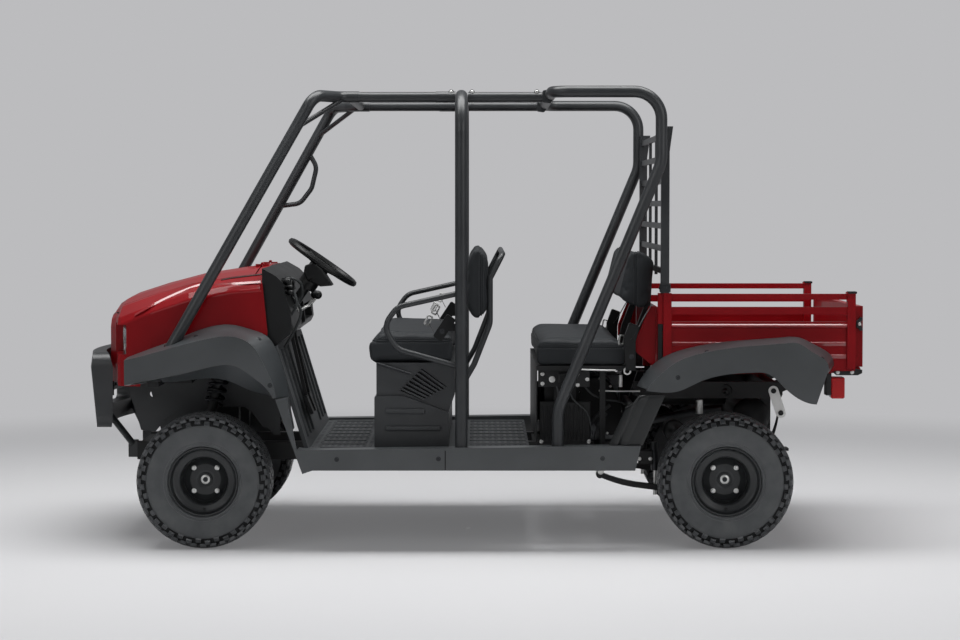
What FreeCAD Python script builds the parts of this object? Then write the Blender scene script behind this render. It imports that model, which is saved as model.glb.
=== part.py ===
import FreeCAD
import Part
import math
import os

# Crew utility vehicle, millimetres. X runs rearward from the front axle while the pieces are
# drawn, Y to the vehicle's right, Z up from the ground. export() then moves X so that the
# origin lies under the middle of the vehicle's length.
V = FreeCAD.Vector

# Whole vehicle
WHEELBASE = 2165
NOSE_X = -541            # front of the bumper bar
TAIL_X = WHEELBASE + 561  # rear of the tailgate
FENDER_Y = 806           # half width over the fenders
SHEET = 3                # pressed steel
MOULDING = 5             # moulded plastic wall
SEAT_GAP = 0.3           # clearance between pieces that rest on each other

# Wheels
TYRE_R = 280
CARCASS_R = 267
TYRE_OUT_Y = 688
TYRE_W = 244
RIM_R = 143
RIM_W = 190
HUB_FACE_IN = 95         # depth of the wheel disc inside the rim's outer edge
SPINDLE_R = 15
PIN_FIT = 0.05           # radial clearance of pins and spindles in their bores
LUGS = 24
TYRE_STEPS = 40          # flat steps round each tyre

# Steering
KING_Y = 400             # steering axis of each front wheel
KNUCKLE_TOP = 430
LOWER_ARM_Z = 175
STRUT_R = 24
ROD_R = 11
STRUT_TOP = 762
STRUT_LEAN = 56          # how far the top of each front strut stands behind its foot

# Cage
PILLAR_Y = 737
RAIL_Y = 480
REAR_HOOP_Y = 729
PILLAR_R = 24
MIDDLE_R = 25.5
RAIL_R = 21.5
RAIL_Z = 1873
REAR_HOOP_Z = RAIL_Z + 12
MIDDLE_X = 1068
REAR_JOINT_X = 1440
PILLAR_FOOT_X = -192
PILLAR_TOP = (463, 648)  # x and y of the front pillar's upper bend

# Frame and floor
FRAME_Y = 220            # centre of each main rail
FRAME_W = 50
FRAME_BOTTOM = 330
FLOOR_Z = 417            # top of the floor
FLOOR_HALF = 707
SILL_BOTTOM = 340
SILL_TOP = 424
SILL_OUT_Y = 790
SILL_FRONT_X = 435
SILL_REAR_X = WHEELBASE - 363
TOE_TOP = (308, 846)
FLOOR_REAR_X = 1350
REAR_RAIL_Y = 430
REAR_RAIL_Z = (609, 679)
REAR_RAIL_X = (WHEELBASE - 375, WHEELBASE + 255)
OUTRIGGER_X = (480, 1068, 1465, 1655)
OUTRIGGER_Y = 760
SPRING_Y = 407           # centre of each leaf spring
SPRING_FRONT_X = WHEELBASE - 513
SHACKLE = ((WHEELBASE + 216, 641), (WHEELBASE + 247, 548))
SHACKLE_R = 21
SHACKLE_PIN_R = 11
LINER_Y = 290            # outer face of each front strut tower
STRUT_PAD_Y = 540
PILLAR_SEAT_Z = 702
HOOP_SEAT_Z = FLOOR_Z - SHEET

# Hood and nose: x, half width of the side, height at the centre, height of the shoulder
NOSE_STATIONS = (
    (-446, 200, 940, 920),
    (-433, 290, 967, 935),
    (-406, 340, 1008, 945),
    (-387, 400, 1020, 950),
    (-372, 520, 1028, 953),
    (-360, 585, 1034, 956),
    (-346, 598, 1041, 958),
    (-216, 640, 1083, 1008),
    (-57, 662, 1125, 1062),
    (105, 674, 1150, 1092),
    (246, 680, 1170, 1106),
)
NOSE_BOTTOM = 672
GRILLE_Y = 300
GRILLE_Z = (610, 748)
GRILLE_FRONT_X = -474
LAMP_Y = (350, 612)
LAMP_Z = (802, 925)
LAMP_BACK = -322
LID_HALF = 520           # half width of the hood lid
LID_REAR_X = 205
LID_FRONT_Z = 966
LID_GAP = 6

# Seats
CUSHION_Y = 640
FRONT_SEAT_X = (670, 1040)
FRONT_SEAT_Z = (771, 895)
REAR_SEAT_X = (1372, 1760)
REAR_SEAT_Z = (758, 868)
SEAT_BACK_X = 1174       # rear face of the front seat back

# Cargo bed
BED_Y = 690              # outer face of the side posts
BED_FRONT_X = WHEELBASE - 267
BED_REAR_X = TAIL_X - 37
BED_FLOOR_Z = 760
BED_SUB_Z = 700          # underside of the bed's channels
BED_SIDE_TOP = 943
BED_TOP = 1065
BED_POST = 34
SCREEN_TOP = 1745
BED_RAIL_Z = ((1034, 1058), (973, 1004))
BED_HINGE = (WHEELBASE + 395, 722)
GATE_X = (TAIL_X - 30, TAIL_X)
GATE_PIN_X = TAIL_X - 12
GATE_PIN_CLEAR = 8       # radius of the bracket's end round the gate's pin
GATE_TOP = 1006
GATE_HINGE_Z = 742
REAR_FENDER_IN = BED_Y + SEAT_GAP

ORIGIN_X = (NOSE_X + TAIL_X) / 2


def box(x0, x1, y0, y1, z0, z1):
    return Part.makeBox(x1 - x0, y1 - y0, z1 - z0, V(x0, y0, z0))


def rod(start, end, radius):
    a, b = V(*start), V(*end)
    return Part.makeCylinder(radius, (b - a).Length, a, b - a)


def corner_radius(points, index, radius):
    before = (V(*points[index - 1]) - V(*points[index])).Length
    after = (V(*points[(index + 1) % len(points)]) - V(*points[index])).Length
    a = (V(*points[index - 1]) - V(*points[index])).normalize()
    b = (V(*points[(index + 1) % len(points)]) - V(*points[index])).normalize()
    half = a.getAngle(b) / 2
    return min(radius, 0.46 * min(before, after) * math.tan(half))


def route(points, radius, closed=False):
    """A wire of straight runs joined by tangent arcs."""
    edges = []
    count = len(points)
    last = None
    start = None
    corners = range(count) if closed else range(1, count - 1)
    if not closed:
        last = V(*points[0])
    for i in corners:
        here = V(*points[i])
        a = (V(*points[i - 1]) - here).normalize()
        b = (V(*points[(i + 1) % count]) - here).normalize()
        half = a.getAngle(b) / 2
        fitted = corner_radius(points, i, radius if isinstance(radius, (int, float)) else radius[i])
        if fitted < 0.01 or abs(half - math.pi / 2) < 0.001:
            if last is not None:
                edges.append(Part.LineSegment(last, here).toShape())
            else:
                start = here
            last = here
            continue
        reach = fitted / math.tan(half)
        p, q = here + a * reach, here + b * reach
        middle = here + (a + b).normalize() * (fitted / math.sin(half) - fitted)
        if last is None:
            start = p
        elif (last - p).Length > 0.001:
            edges.append(Part.LineSegment(last, p).toShape())
        edges.append(Part.Arc(p, middle, q).toShape())
        last = q
    end = start if closed else V(*points[-1])
    if (last - end).Length > 0.001:
        edges.append(Part.LineSegment(last, end).toShape())
    return Part.Wire(edges)


def tube(points, radius, bend):
    path = route(points, bend)
    start = V(*points[0])
    ring = Part.Wire(Part.Circle(start, V(*points[1]) - start, radius).toShape())
    return path.makePipeShell([ring], True, False, 2)


def plate_xz(points, y0, y1, radius=0):
    flat = [(x, y0, z) for x, z in points]
    return Part.Face(route(flat, radius, True)).extrude(V(0, y1 - y0, 0))


def plate_yz(points, x0, x1, radius=0):
    flat = [(x0, y, z) for y, z in points]
    return Part.Face(route(flat, radius, True)).extrude(V(x1 - x0, 0, 0))


def plate_xy(points, z0, z1, radius=0):
    flat = [(x, y, z0) for x, y in points]
    return Part.Face(route(flat, radius, True)).extrude(V(0, 0, z1 - z0))


def curve(points):
    spline = Part.BSplineCurve()
    spline.interpolate([V(*p) for p in points])
    return spline.toShape()


def line(a, b):
    return Part.LineSegment(V(*a), V(*b)).toShape()


def fuse(shapes):
    return shapes[0].multiFuse(shapes[1:]).removeSplitter()


def mirrored(shape):
    return shape.mirror(V(0, 0, 0), V(0, 1, 0))


def chamfered(shape, size):
    return shape.makeChamfer(size, shape.Edges)


def behind(points):
    """Points of a side view, x measured rearward from the rear axle."""
    return [(WHEELBASE + x, z) for x, z in points]


def export(name, shape):
    shape = shape if isinstance(shape, Part.Shape) else Part.makeCompound(shape)
    solids = shape.Solids
    body = solids[0] if len(solids) == 1 else Part.makeCompound(solids)
    if not solids or not body.isValid():
        raise ValueError("bad shape in " + name)
    body = body.copy()
    body.translate(V(-ORIGIN_X, 0, 0))
    body.exportStep("parts/" + name + ".step")
    print(name, len(solids), round(body.Volume / 1e6, 2))


# Wheels

def stepped_ring(profile, steps):
    """A closed profile of (y, radius) turned about the axle in flat steps."""
    faces = []
    turns = [2 * math.pi * (i + 0.5) / steps for i in range(steps + 1)]
    for (y0, r0), (y1, r1) in zip(profile, profile[1:] + profile[:1]):
        for a, b in zip(turns, turns[1:]):
            corners = [V(r * math.sin(c), y, r * math.cos(c)) for y, r, c in
                       ((y0, r0, a), (y0, r0, b), (y1, r1, b), (y1, r1, a))]
            faces.append(Part.Face(Part.makePolygon(corners + corners[:1])))
    return Part.makeSolid(Part.makeShell(faces))


def tyre():
    """Low pressure tyre: carcass in flat steps, lugs set round both shoulders."""
    half = TYRE_W / 2
    bead = RIM_W / 2 - 8
    seat = (RIM_R + SEAT_GAP) / math.cos(math.pi / TYRE_STEPS)
    profile = [(bead, seat), (half - 6, 176), (half - 2, 222), (half - 10, 246), (half - 36, CARCASS_R - 4),
               (-half + 36, CARCASS_R - 4), (-half + 10, 246), (-half + 2, 222), (-half + 6, 176), (-bead, seat),
               (-half + 34, 236), (half - 34, 236)]
    carcass = stepped_ring(profile, TYRE_STEPS)
    lugs = []
    pitch = 360 / LUGS
    top = TYRE_R - 0.6
    for side in (1, -1):
        for i in range(LUGS):
            depth = 52 if i % 2 else 88
            block = plate_yz([(side * (half - depth), CARCASS_R - 16), (side * (half - 22), 240),
                              (side * (half - 8), 246), (side * (half - 12), TYRE_R - 16),
                              (side * (half - 30), top), (side * (half - depth), top)], -16, 16)
            block.rotate(V(0, 0, 0), V(0, 1, 0), i * pitch + (pitch / 2 if side < 0 else 0))
            lugs.append(block)
    return carcass.multiFuse(lugs)


def rim():
    """Pressed steel wheel, outer side towards -Y, bored for the spindle."""
    edge = RIM_W / 2
    face = -edge + HUB_FACE_IN
    t = 4
    bore = SPINDLE_R + PIN_FIT
    barrel = [(0, -edge, RIM_R), (0, -edge, RIM_R - 6), (0, -edge + 34, 122), (0, -edge + 60, 116),
              (0, -edge + 74, 96), (0, face + 4, 90), (0, face - 6, 64), (0, face - 6, 40), (0, face, bore),
              (0, face + 26, bore), (0, face + 26, 36), (0, face + t, 46), (0, face + 8, 97), (0, edge - 16, 132),
              (0, edge, RIM_R - 5), (0, edge, RIM_R), (0, edge - 12, RIM_R - 2), (0, edge - 24, 136),
              (0, -edge + 66, 120), (0, -edge + 38, 126), (0, -edge + 8, RIM_R)]
    body = Part.Face(route(barrel, 0, True)).revolve(V(0, 0, 0), V(0, 1, 0), 360)
    holes = []
    for i in range(4):
        angle = math.radians(45 + 90 * i)
        x, z = 68.5 * math.cos(angle), 68.5 * math.sin(angle)
        holes.append(rod((x, face - 20, z), (x, face + 20, z), 6))
    return body.cut(Part.makeCompound(holes))


def wheel_place(shape, x, side):
    placed = shape.copy()
    if side > 0:
        placed = mirrored(placed)
    placed.translate(V(x, side * (TYRE_OUT_Y - TYRE_W / 2), TYRE_R))
    return placed


def wheels():
    plain_tyre = tyre()
    plain_rim = rim()
    for end, x in (("front", 0), ("rear", WHEELBASE)):
        for name, side in (("left", -1), ("right", 1)):
            export("tyre_" + end + "_" + name, wheel_place(plain_tyre, x, side))
            export("rim_" + end + "_" + name, wheel_place(plain_rim, x, side))


WHEEL_Y = TYRE_OUT_Y - TYRE_W / 2
DISC_Y = WHEEL_Y + RIM_W / 2 - HUB_FACE_IN         # outer face of the wheel disc
HUB_IN_Y = DISC_Y - 26                             # inner end of the wheel's hub


def knuckle(side):
    """Upright with its spindle, strut body and steering arm."""
    spindle = rod((0, side * (KING_Y - 30), TYRE_R), (0, side * (DISC_Y - 2), TYRE_R), SPINDLE_R)
    hub = rod((0, side * (KING_Y - 26), TYRE_R), (0, side * (HUB_IN_Y - 1), TYRE_R), 38)
    low = LOWER_ARM_Z + 16 + SEAT_GAP
    upright = box(-26, 26, min(side * (KING_Y - 26), side * (KING_Y + 22)),
                  max(side * (KING_Y - 26), side * (KING_Y + 22)), low, TYRE_R + 60)
    strut = rod((0, side * KING_Y, TYRE_R + 40), (0, side * KING_Y, KNUCKLE_TOP + 70), STRUT_R)
    arm = plate_xy([(10, side * (KING_Y - 8)), (10, side * (KING_Y - 60)), (118, side * (KING_Y - 84)),
                    (118, side * (KING_Y - 52)), (40, side * (KING_Y - 8))], TYRE_R - 6, TYRE_R + 8)
    return fuse([spindle, hub, upright, strut, arm])


def front_suspension():
    """Lower arms, upper strut rods with their springs, and the steering rack under the floor."""
    solids = []
    for side in (-1, 1):
        tip = side * KING_Y
        root = side * (FRAME_Y + FRAME_W / 2)
        arm = plate_xy([(-150, root), (-118, root), (-20, tip - side * 40), (20, tip - side * 40), (118, root),
                        (150, root), (30, tip + side * 18), (-30, tip + side * 18)],
                       LOWER_ARM_Z - 12, LOWER_ARM_Z + 12, 14)
        pivot = rod((-170, root + side * 4, LOWER_ARM_Z), (170, root + side * 4, LOWER_ARM_Z), 18)
        ball = rod((0, tip, LOWER_ARM_Z - 14), (0, tip, LOWER_ARM_Z + 16), 24)
        hangers = []
        for x in (-150, 150):
            hangers.append(box(x - 14, x + 14, min(root, root - side * 30), max(root, root - side * 30),
                               LOWER_ARM_Z - 20, FRAME_BOTTOM))
        solids.append(fuse([arm, pivot, ball] + hangers))
        foot = KNUCKLE_TOP + 70 + SEAT_GAP
        shaft = rod((0, tip, foot), (0, tip, foot + 34), ROD_R)
        seat = rod((STRUT_LEAN, tip, STRUT_TOP - 12), (STRUT_LEAN, tip, STRUT_TOP), 42)
        boot = rod((0, tip, foot + 28), (STRUT_LEAN, tip, STRUT_TOP - 9), 22)
        coils = []
        for i in range(4):
            share = 0.38 + 0.15 * i
            low = (STRUT_LEAN * share, tip, foot + (STRUT_TOP - foot) * share)
            high = (STRUT_LEAN * (share + 0.03), tip, foot + (STRUT_TOP - foot) * (share + 0.03))
            coils.append(rod(low, high, 38))
        solids.append(fuse([shaft, seat, boot] + coils))
    rack = rod((118, -FRAME_Y, 300), (118, FRAME_Y, 300), 22)
    solids.append(rack)
    return solids


def frame():
    """Main rails, cross members, front strut towers, raised rear rails and the tow plate."""
    top = FLOOR_Z - SHEET - SEAT_GAP
    pieces = []
    for side in (-1, 1):
        inner, outer = side * (FRAME_Y - FRAME_W / 2), side * (FRAME_Y + FRAME_W / 2)
        y0, y1 = min(inner, outer), max(inner, outer)
        pieces.append(box(-330, WHEELBASE - 335, y0, y1, FRAME_BOTTOM, FRAME_BOTTOM + 76))
        kick = plate_xz(behind([(-405, FRAME_BOTTOM), (-335, FRAME_BOTTOM), (-235, REAR_RAIL_Z[0]),
                                (-235, REAR_RAIL_Z[1]), (-315, REAR_RAIL_Z[1]), (-405, FRAME_BOTTOM + 76)]), y0, y1)
        pieces.append(kick)
        outer_y0, outer_y1 = sorted((side * (REAR_RAIL_Y - 20), side * (REAR_RAIL_Y + 20)))
        rail = plate_xz([(REAR_RAIL_X[0], REAR_RAIL_Z[1]), (REAR_RAIL_X[0], REAR_RAIL_Z[0] + 14),
                         (REAR_RAIL_X[0] + 60, REAR_RAIL_Z[0]), (REAR_RAIL_X[1] - 8, REAR_RAIL_Z[0]),
                         (REAR_RAIL_X[1], REAR_RAIL_Z[0] + 16), (REAR_RAIL_X[1], REAR_RAIL_Z[1])],
                        outer_y0, outer_y1)
        hole = rod((WHEELBASE + 19, side * (REAR_RAIL_Y + 12), 646), (WHEELBASE + 19, side * (REAR_RAIL_Y + 22), 646), 25)
        pieces.append(rail.cut(hole))
        (x, z), y = SHACKLE[0], side * (REAR_RAIL_Y + 20)
        pieces.append(rod((x, y - side * 10, z), (x, y + side * 10, z), SHACKLE_PIN_R))
        tower = plate_yz([(side * 200, FRAME_BOTTOM + 70), (side * 245, FRAME_BOTTOM + 70),
                          (side * LINER_Y, 600), (side * LINER_Y, STRUT_TOP + SEAT_GAP),
                          (side * (KING_Y + 60), STRUT_TOP + SEAT_GAP),
                          (side * (KING_Y + 60), STRUT_TOP + 12), (side * 200, STRUT_TOP + 12)], -70, 110)
        pieces.append(tower)
    for x in (-300, 480, 1010, 1400, WHEELBASE - 405):
        pieces.append(box(x - 25, x + 25, -FRAME_Y, FRAME_Y, FRAME_BOTTOM + 6, FRAME_BOTTOM + 70))
    for x in OUTRIGGER_X:
        pieces.append(box(x - 20, x + 20, -OUTRIGGER_Y, OUTRIGGER_Y, FRAME_BOTTOM + 22, top))
    for side in (-1, 1):
        y0, y1 = sorted((side * (SPRING_Y - 24), side * (SPRING_Y + 24)))
        pieces.append(box(SPRING_FRONT_X - 20, SPRING_FRONT_X + 22, y0, y1, 284 + 16 + SEAT_GAP, FRAME_BOTTOM + 30))
        y0, y1 = sorted((side * (STRUT_PAD_Y), side * (PILLAR_Y + 20)))
        pieces.append(box(-214, -170, y0, y1, 680, PILLAR_SEAT_Z - SEAT_GAP))
        y0, y1 = sorted((side * 280, side * STRUT_PAD_Y))
        pieces.append(box(-214, -60, y0, y1, 680, PILLAR_SEAT_Z - SEAT_GAP))
    y = SPRING_Y + 24
    pieces.append(box(SPRING_FRONT_X - 20, SPRING_FRONT_X + 22, -y, y, FRAME_BOTTOM + 22, FRAME_BOTTOM + 60))
    rest_x = WHEELBASE - 265
    for side in (-1, 1):
        pieces.append(rod((rest_x, side * 277, REAR_RAIL_Z[1] - 10), (rest_x, side * 277, BED_SUB_Z - SEAT_GAP), 15))
    for x in (rest_x, WHEELBASE + 215):
        pieces.append(box(x - 25, x + 25, -REAR_RAIL_Y, REAR_RAIL_Y, REAR_RAIL_Z[0] + 10, REAR_RAIL_Z[1] - 6))
    for side in (-1, 1):
        y0, y1 = sorted((side * 150, side * 190))
        pieces.append(box(WHEELBASE + 195, WHEELBASE + 235, y0, y1, 330, REAR_RAIL_Z[0] + 20))
        pivot0, pivot1 = sorted((side * 300, side * 312))
        low, (x, z) = REAR_RAIL_Z[0] + 10, BED_HINGE
        pieces.append(plate_xz([(WHEELBASE + 215, low), (WHEELBASE + 255, low), (x + 30, z - 30), (x + 30, z + 14),
                                (x - 20, z + 14), (WHEELBASE + 235, REAR_RAIL_Z[1] - 6)], pivot0, pivot1))
    pieces.append(box(WHEELBASE + 235, WHEELBASE + 247, -190, 190, 320, 420))
    x0, x1 = WHEELBASE + 215, WHEELBASE + 335
    pieces.append(plate_xy([(x0, -70), (x1, -45), (x1, 45), (x0, 70)], 346, 356, 10))
    pieces.append(rod((BED_HINGE[0], -312, BED_HINGE[1]), (BED_HINGE[0], 312, BED_HINGE[1]), 10))
    welded = fuse(pieces)
    return welded.cut(rod((WHEELBASE + 300, 0, 330), (WHEELBASE + 300, 0, 370), 9.5))


def front_liners():
    """Moulded walls between the front wheels and the engine bay, seated on the strut towers."""
    solids = []
    outline = [(-364, 760), (-364, 659), (-306, 461), (-246, 453), (-194, 513), (-130, 566), (0, 590), (130, 566),
               (215, 500), (262, 440), (290, 440), (290, 760)]
    for side in (-1, 1):
        y0, y1 = sorted((side * (LINER_Y + SEAT_GAP), side * (LINER_Y + SEAT_GAP + SHEET)))
        wall = plate_xz(outline, y0, y1)
        hole = rod((-254, y0 - 1, 616), (-254, y1 + 1, 616), 13)
        shelf = box(-215, -59, y0 - 1, y1 + 1, 679, PILLAR_SEAT_Z + 1)
        solids.append(wall.cut(Part.makeCompound([hole, shelf])))
    return solids


def floor():
    """Pressed floor with its toe board, stepped around the tunnel between the seats."""
    t = SHEET
    section = [(FLOOR_REAR_X, FLOOR_Z), (438, FLOOR_Z), TOE_TOP, (TOE_TOP[0] - 14, TOE_TOP[1] - 14),
               (438 - 16, FLOOR_Z - t), (FLOOR_REAR_X, FLOOR_Z - t)]
    panel = plate_xz(section, -FLOOR_HALF, FLOOR_HALF)
    ribs = []
    for i in range(9):
        y = -620 + i * 155
        ribs.append(box(480, 660, y - 10, y + 10, FLOOR_Z, FLOOR_Z + 3))
        ribs.append(box(1100, 1340, y - 10, y + 10, FLOOR_Z, FLOOR_Z + 3))
    toe_ribs = []
    for y in (-560, -400, -240, 240, 400, 560):
        toe_ribs.append(plate_xz([(418, 460), (434, 460), (324, 826), (308, 826)], y - 14, y + 14))
    pressed = fuse([panel] + ribs + toe_ribs)
    low = FLOOR_Z + 0.5
    sides = [box(200, 450, 683, 760, low, 900), box(200, 450, -760, -683, low, 900)]
    return pressed.cut(Part.makeCompound(sides))


def skirt(side):
    """Step trim: a leg below the front fender and a long moulded sill."""
    y_out = side * SILL_OUT_Y
    y_in = side * (FLOOR_HALF + SEAT_GAP)
    y0, y1 = min(y_out, y_in), max(y_out, y_in)
    sill = plate_xz([(419, SILL_BOTTOM - 14), (460, SILL_BOTTOM), (SILL_REAR_X - 24, SILL_BOTTOM),
                     (SILL_REAR_X, 441), (SILL_FRONT_X, SILL_TOP), (400, SILL_TOP + 4)], y0, y1)
    leg = plate_xz([(309, 632), (358, 636), (397, SILL_TOP), (440, SILL_TOP), (455, SILL_BOTTOM),
                    (419, SILL_BOTTOM - 14)], min(y_out, y_out - side * 90), max(y_out, y_out - side * 90))
    body = fuse([sill, leg])
    hollow_y0, hollow_y1 = sorted((y_out - side * MOULDING, y_out - side * 120))
    hollow = plate_xz([(432, SILL_BOTTOM - 30), (SILL_REAR_X - 30, SILL_BOTTOM - 30),
                       (SILL_REAR_X - 8, 441 - MOULDING), (SILL_FRONT_X + 4, SILL_TOP - MOULDING),
                       (404, SILL_TOP - MOULDING), (352, 625), (318, 625)], hollow_y0, hollow_y1)
    y0, y1 = sorted((y_in, y_in + side * MOULDING))
    low = HOOP_SEAT_Z + SEAT_GAP
    lip = plate_xz([(460, low), (FLOOR_REAR_X, low), (FLOOR_REAR_X, 433), (460, 422)], y0, y1)
    return body.cut(hollow).fuse(lip)


# Fender outlines, x and z: edge on the body, outer ridge, lower lip, and the front one's inner flange
FF_TOP = ((-303, 798), (-240, 822), (-107, 871), (23, 920), (120, 932), (205, 912), (274, 880), (306, 830),
          (336, 747), (361, 636))
FF_RIDGE = ((-303, 792), (-242, 806), (-90, 848), (60, 884), (112, 890), (190, 872), (236, 830), (262, 780),
            (299, 700), (314, 638))
FF_LIP = ((-303, 690), (-231, 705), (-56, 739), (70, 769), (115, 774), (155, 766), (200, 738), (240, 708),
          (275, 676), (300, 637))
FF_INNER = ((-296, 683), (-231, 692), (-94, 700), (60, 712), (112, 702), (155, 684), (200, 664), (240, 652),
            (275, 644), (300, 632))
RF_TOP = behind([(-375, 680), (-335, 742), (-283, 788), (-154, 838), (35, 866), (225, 880), (288, 880), (355, 850),
                 (431, 792), (435, 765)])
RF_RIDGE = behind([(-343, 676), (-297, 722), (-228, 780), (-114, 822), (55, 848), (225, 862), (270, 862), (325, 830),
                   (395, 775), (397, 750)])
RF_LIP = behind([(-341, 667), (-295, 662), (-221, 664), (-127, 704), (89, 742), (145, 738), (184, 715), (218, 681),
                 (302, 622), (350, 612)])


def block_between(y_in, y_out, inner_top, outer_top, inner_low, outer_low):
    sections = []
    for y, top, low in ((y_in, inner_top, inner_low), (y_out, outer_top, outer_low)):
        upper = curve([(x, y, z) for x, z in top])
        lower = curve([(x, y, z) for x, z in low])
        front = line((top[0][0], y, top[0][1]), (low[0][0], y, low[0][1]))
        rear = line((top[-1][0], y, top[-1][1]), (low[-1][0], y, low[-1][1]))
        sections.append(Part.Wire([upper, rear, lower, front]))
    return Part.makeLoft(sections, True, True)


def lowered(points, drop):
    return [(x, z - drop) for x, z in points]


def inset(points, wall):
    """The outline moved in by one wall: down, and in from both ends."""
    middle = (points[0][0] + points[-1][0]) / 2
    half = (points[-1][0] - points[0][0]) / 2
    return [(middle + (x - middle) * (half - wall) / half, z - wall) for x, z in points]


def fender(side, y_in, top, ridge, lip):
    """Moulded fender: sloping top skin from the body out to a ridge, then an upright side skin."""
    face = side * (FENDER_Y - 8)
    out = side * FENDER_Y
    top_block = block_between(side * y_in, face, top, ridge, lip, lip)
    side_block = block_between(face, out, ridge, ridge, lip, lip)
    low = lowered(lip, 200)
    hollow = block_between(side * (y_in - 5), out - side * MOULDING, inset(top, MOULDING), inset(ridge, MOULDING),
                           inset(low, MOULDING), inset(low, MOULDING))
    return fuse([top_block, side_block]).cut(hollow)


def front_fender(side):
    """The fender with a flange sloping in and down from its lip, notched round the pillar."""
    skin = fender(side, 690, FF_TOP, FF_RIDGE, FF_LIP)
    flange = block_between(side * FENDER_Y, side * 722, lowered(FF_LIP, -MOULDING), lowered(FF_INNER, -MOULDING),
                           FF_LIP, FF_INNER)
    y0, y1 = sorted((side * 700, side * 766))
    pad = box(PILLAR_FOOT_X - 30, PILLAR_FOOT_X + 36, y0, y1, 660, PILLAR_SEAT_Z + 40)
    notch = rod(pillar_at(740, side), pillar_at(960, side), PILLAR_R + 4)
    return skin.fuse(flange.cut(pad)).removeSplitter().cut(notch)


def nose_section(x, half, top, shoulder, low, wall):
    """Cross section of the front body: sides, a rounded shoulder and a crowned top."""
    w, z, s = half - wall, top - wall, shoulder - wall
    lid = LID_HALF / 680 * half - wall
    inner = lid * 0.62
    points = [(x, -w, low), (x, -w, s - 30), (x, -w + 26, s), (x, -lid, s + (z - s) * 0.52),
              (x, -inner, s + (z - s) * 0.86), (x, 0, z), (x, inner, s + (z - s) * 0.86),
              (x, lid, s + (z - s) * 0.52), (x, w - 26, s), (x, w, s - 30), (x, w, low)]
    return route(points, [0, 24, 24, 40, 90, 200, 90, 40, 24, 24, 0], True)


def nose_block(wall):
    sections = []
    for x, half, top, shoulder in NOSE_STATIONS:
        x_in = x + wall if x < 0 else x
        if x == NOSE_STATIONS[-1][0]:
            x_in = x + (40 if wall else 0)
        sections.append(nose_section(x_in, half, top, shoulder, NOSE_BOTTOM - (60 if wall else 0), wall))
    return Part.makeLoft(sections, True, True)


def lid_cutter(gap):
    """The space of the hood lid seen from above, widened by the gap round it."""
    half = LID_HALF + gap
    front = [(NOSE_X, -300 - gap), (-330, -430 - gap), (-60, -half + 14), (LID_REAR_X + gap, -half),
             (LID_REAR_X + gap, half), (-60, half - 14), (-330, 430 + gap), (NOSE_X, 300 + gap)]
    return plate_xy(front, LID_FRONT_Z - gap, 1300)


def front_body_and_hood():
    shell = nose_block(0).cut(nose_block(MOULDING))
    arch = plate_xz([(-262, 600), (-262, PILLAR_SEAT_Z), (-165, PILLAR_SEAT_Z), (-60, 748), (110, 778), (250, 760),
                     (300, 600)], -900, 900)
    shell = shell.cut(arch)
    hood = shell.common(lid_cutter(0))
    body = shell.cut(lid_cutter(LID_GAP))
    recesses = []
    for side in (-1, 1):
        y0, y1 = sorted((side * LAMP_Y[0], side * LAMP_Y[1]))
        z0, z1 = LAMP_Z
        bucket = nose_block(0).common(box(NOSE_X, LAMP_BACK + MOULDING, y0 - MOULDING, y1 + MOULDING,
                                          z0 - MOULDING, z1 + MOULDING))
        body = body.fuse(bucket)
        recesses.append(box(NOSE_X, LAMP_BACK, y0, y1, z0, z1))
    body = body.cut(lid_cutter(LID_GAP))
    recesses.append(box(-480, -380, -GRILLE_Y, GRILLE_Y, GRILLE_Z[0], GRILLE_Z[1]))
    body = body.cut(Part.makeCompound(recesses))
    flap = [(240, 1100), (250, 1100), (270, 900), (262, 800), (240, 790)]
    for side in (-1, 1):
        y0, y1 = sorted((side * 674, side * 679))
        body = body.fuse(plate_xz(flap, y0, y1))
    return body, hood


# Cage

def pillar_at(z, side):
    """Centre of the straight part of the front pillar at a height."""
    share = (z - PILLAR_SEAT_Z - 14) / (RAIL_Z - PILLAR_SEAT_Z - 14)
    x = PILLAR_FOOT_X + (PILLAR_TOP[0] - PILLAR_FOOT_X) * share
    return (x, side * (PILLAR_Y + (PILLAR_TOP[1] - PILLAR_Y) * share), z)


def pillar(side):
    """Front pillar: one bent tube from the strut pad up and over into the roof rail's sleeve."""
    foot = pillar_at(PILLAR_SEAT_Z + 14, side)
    points = [foot, pillar_at(RAIL_Z, side), (560, side * RAIL_Y, RAIL_Z), (640, side * RAIL_Y, RAIL_Z)]
    body = tube(points, PILLAR_R, [0, 70, 90, 0])
    pad = box(foot[0] - 24, foot[0] + 30, min(side * 712, side * 760), max(side * 712, side * 760),
              PILLAR_SEAT_Z, PILLAR_SEAT_Z + 22)
    brace = rod(pillar_at(RAIL_Z - 137, side), (580, side * (RAIL_Y + 6), RAIL_Z - 4), 10)
    pieces = [body, pad, brace]
    if side > 0:
        high, low = pillar_at(RAIL_Z - 205, side), pillar_at(RAIL_Z - 456, side)
        grip = [high, (high[0] + 38, high[1] + 4, high[2] - 68), (high[0] + 14, high[1] + 8, high[2] - 168),
                (low[0] + 102, low[1] - 6, low[2] + 13), low]
        pieces.append(tube(grip, 11, 60))
    return fuse(pieces)


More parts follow.
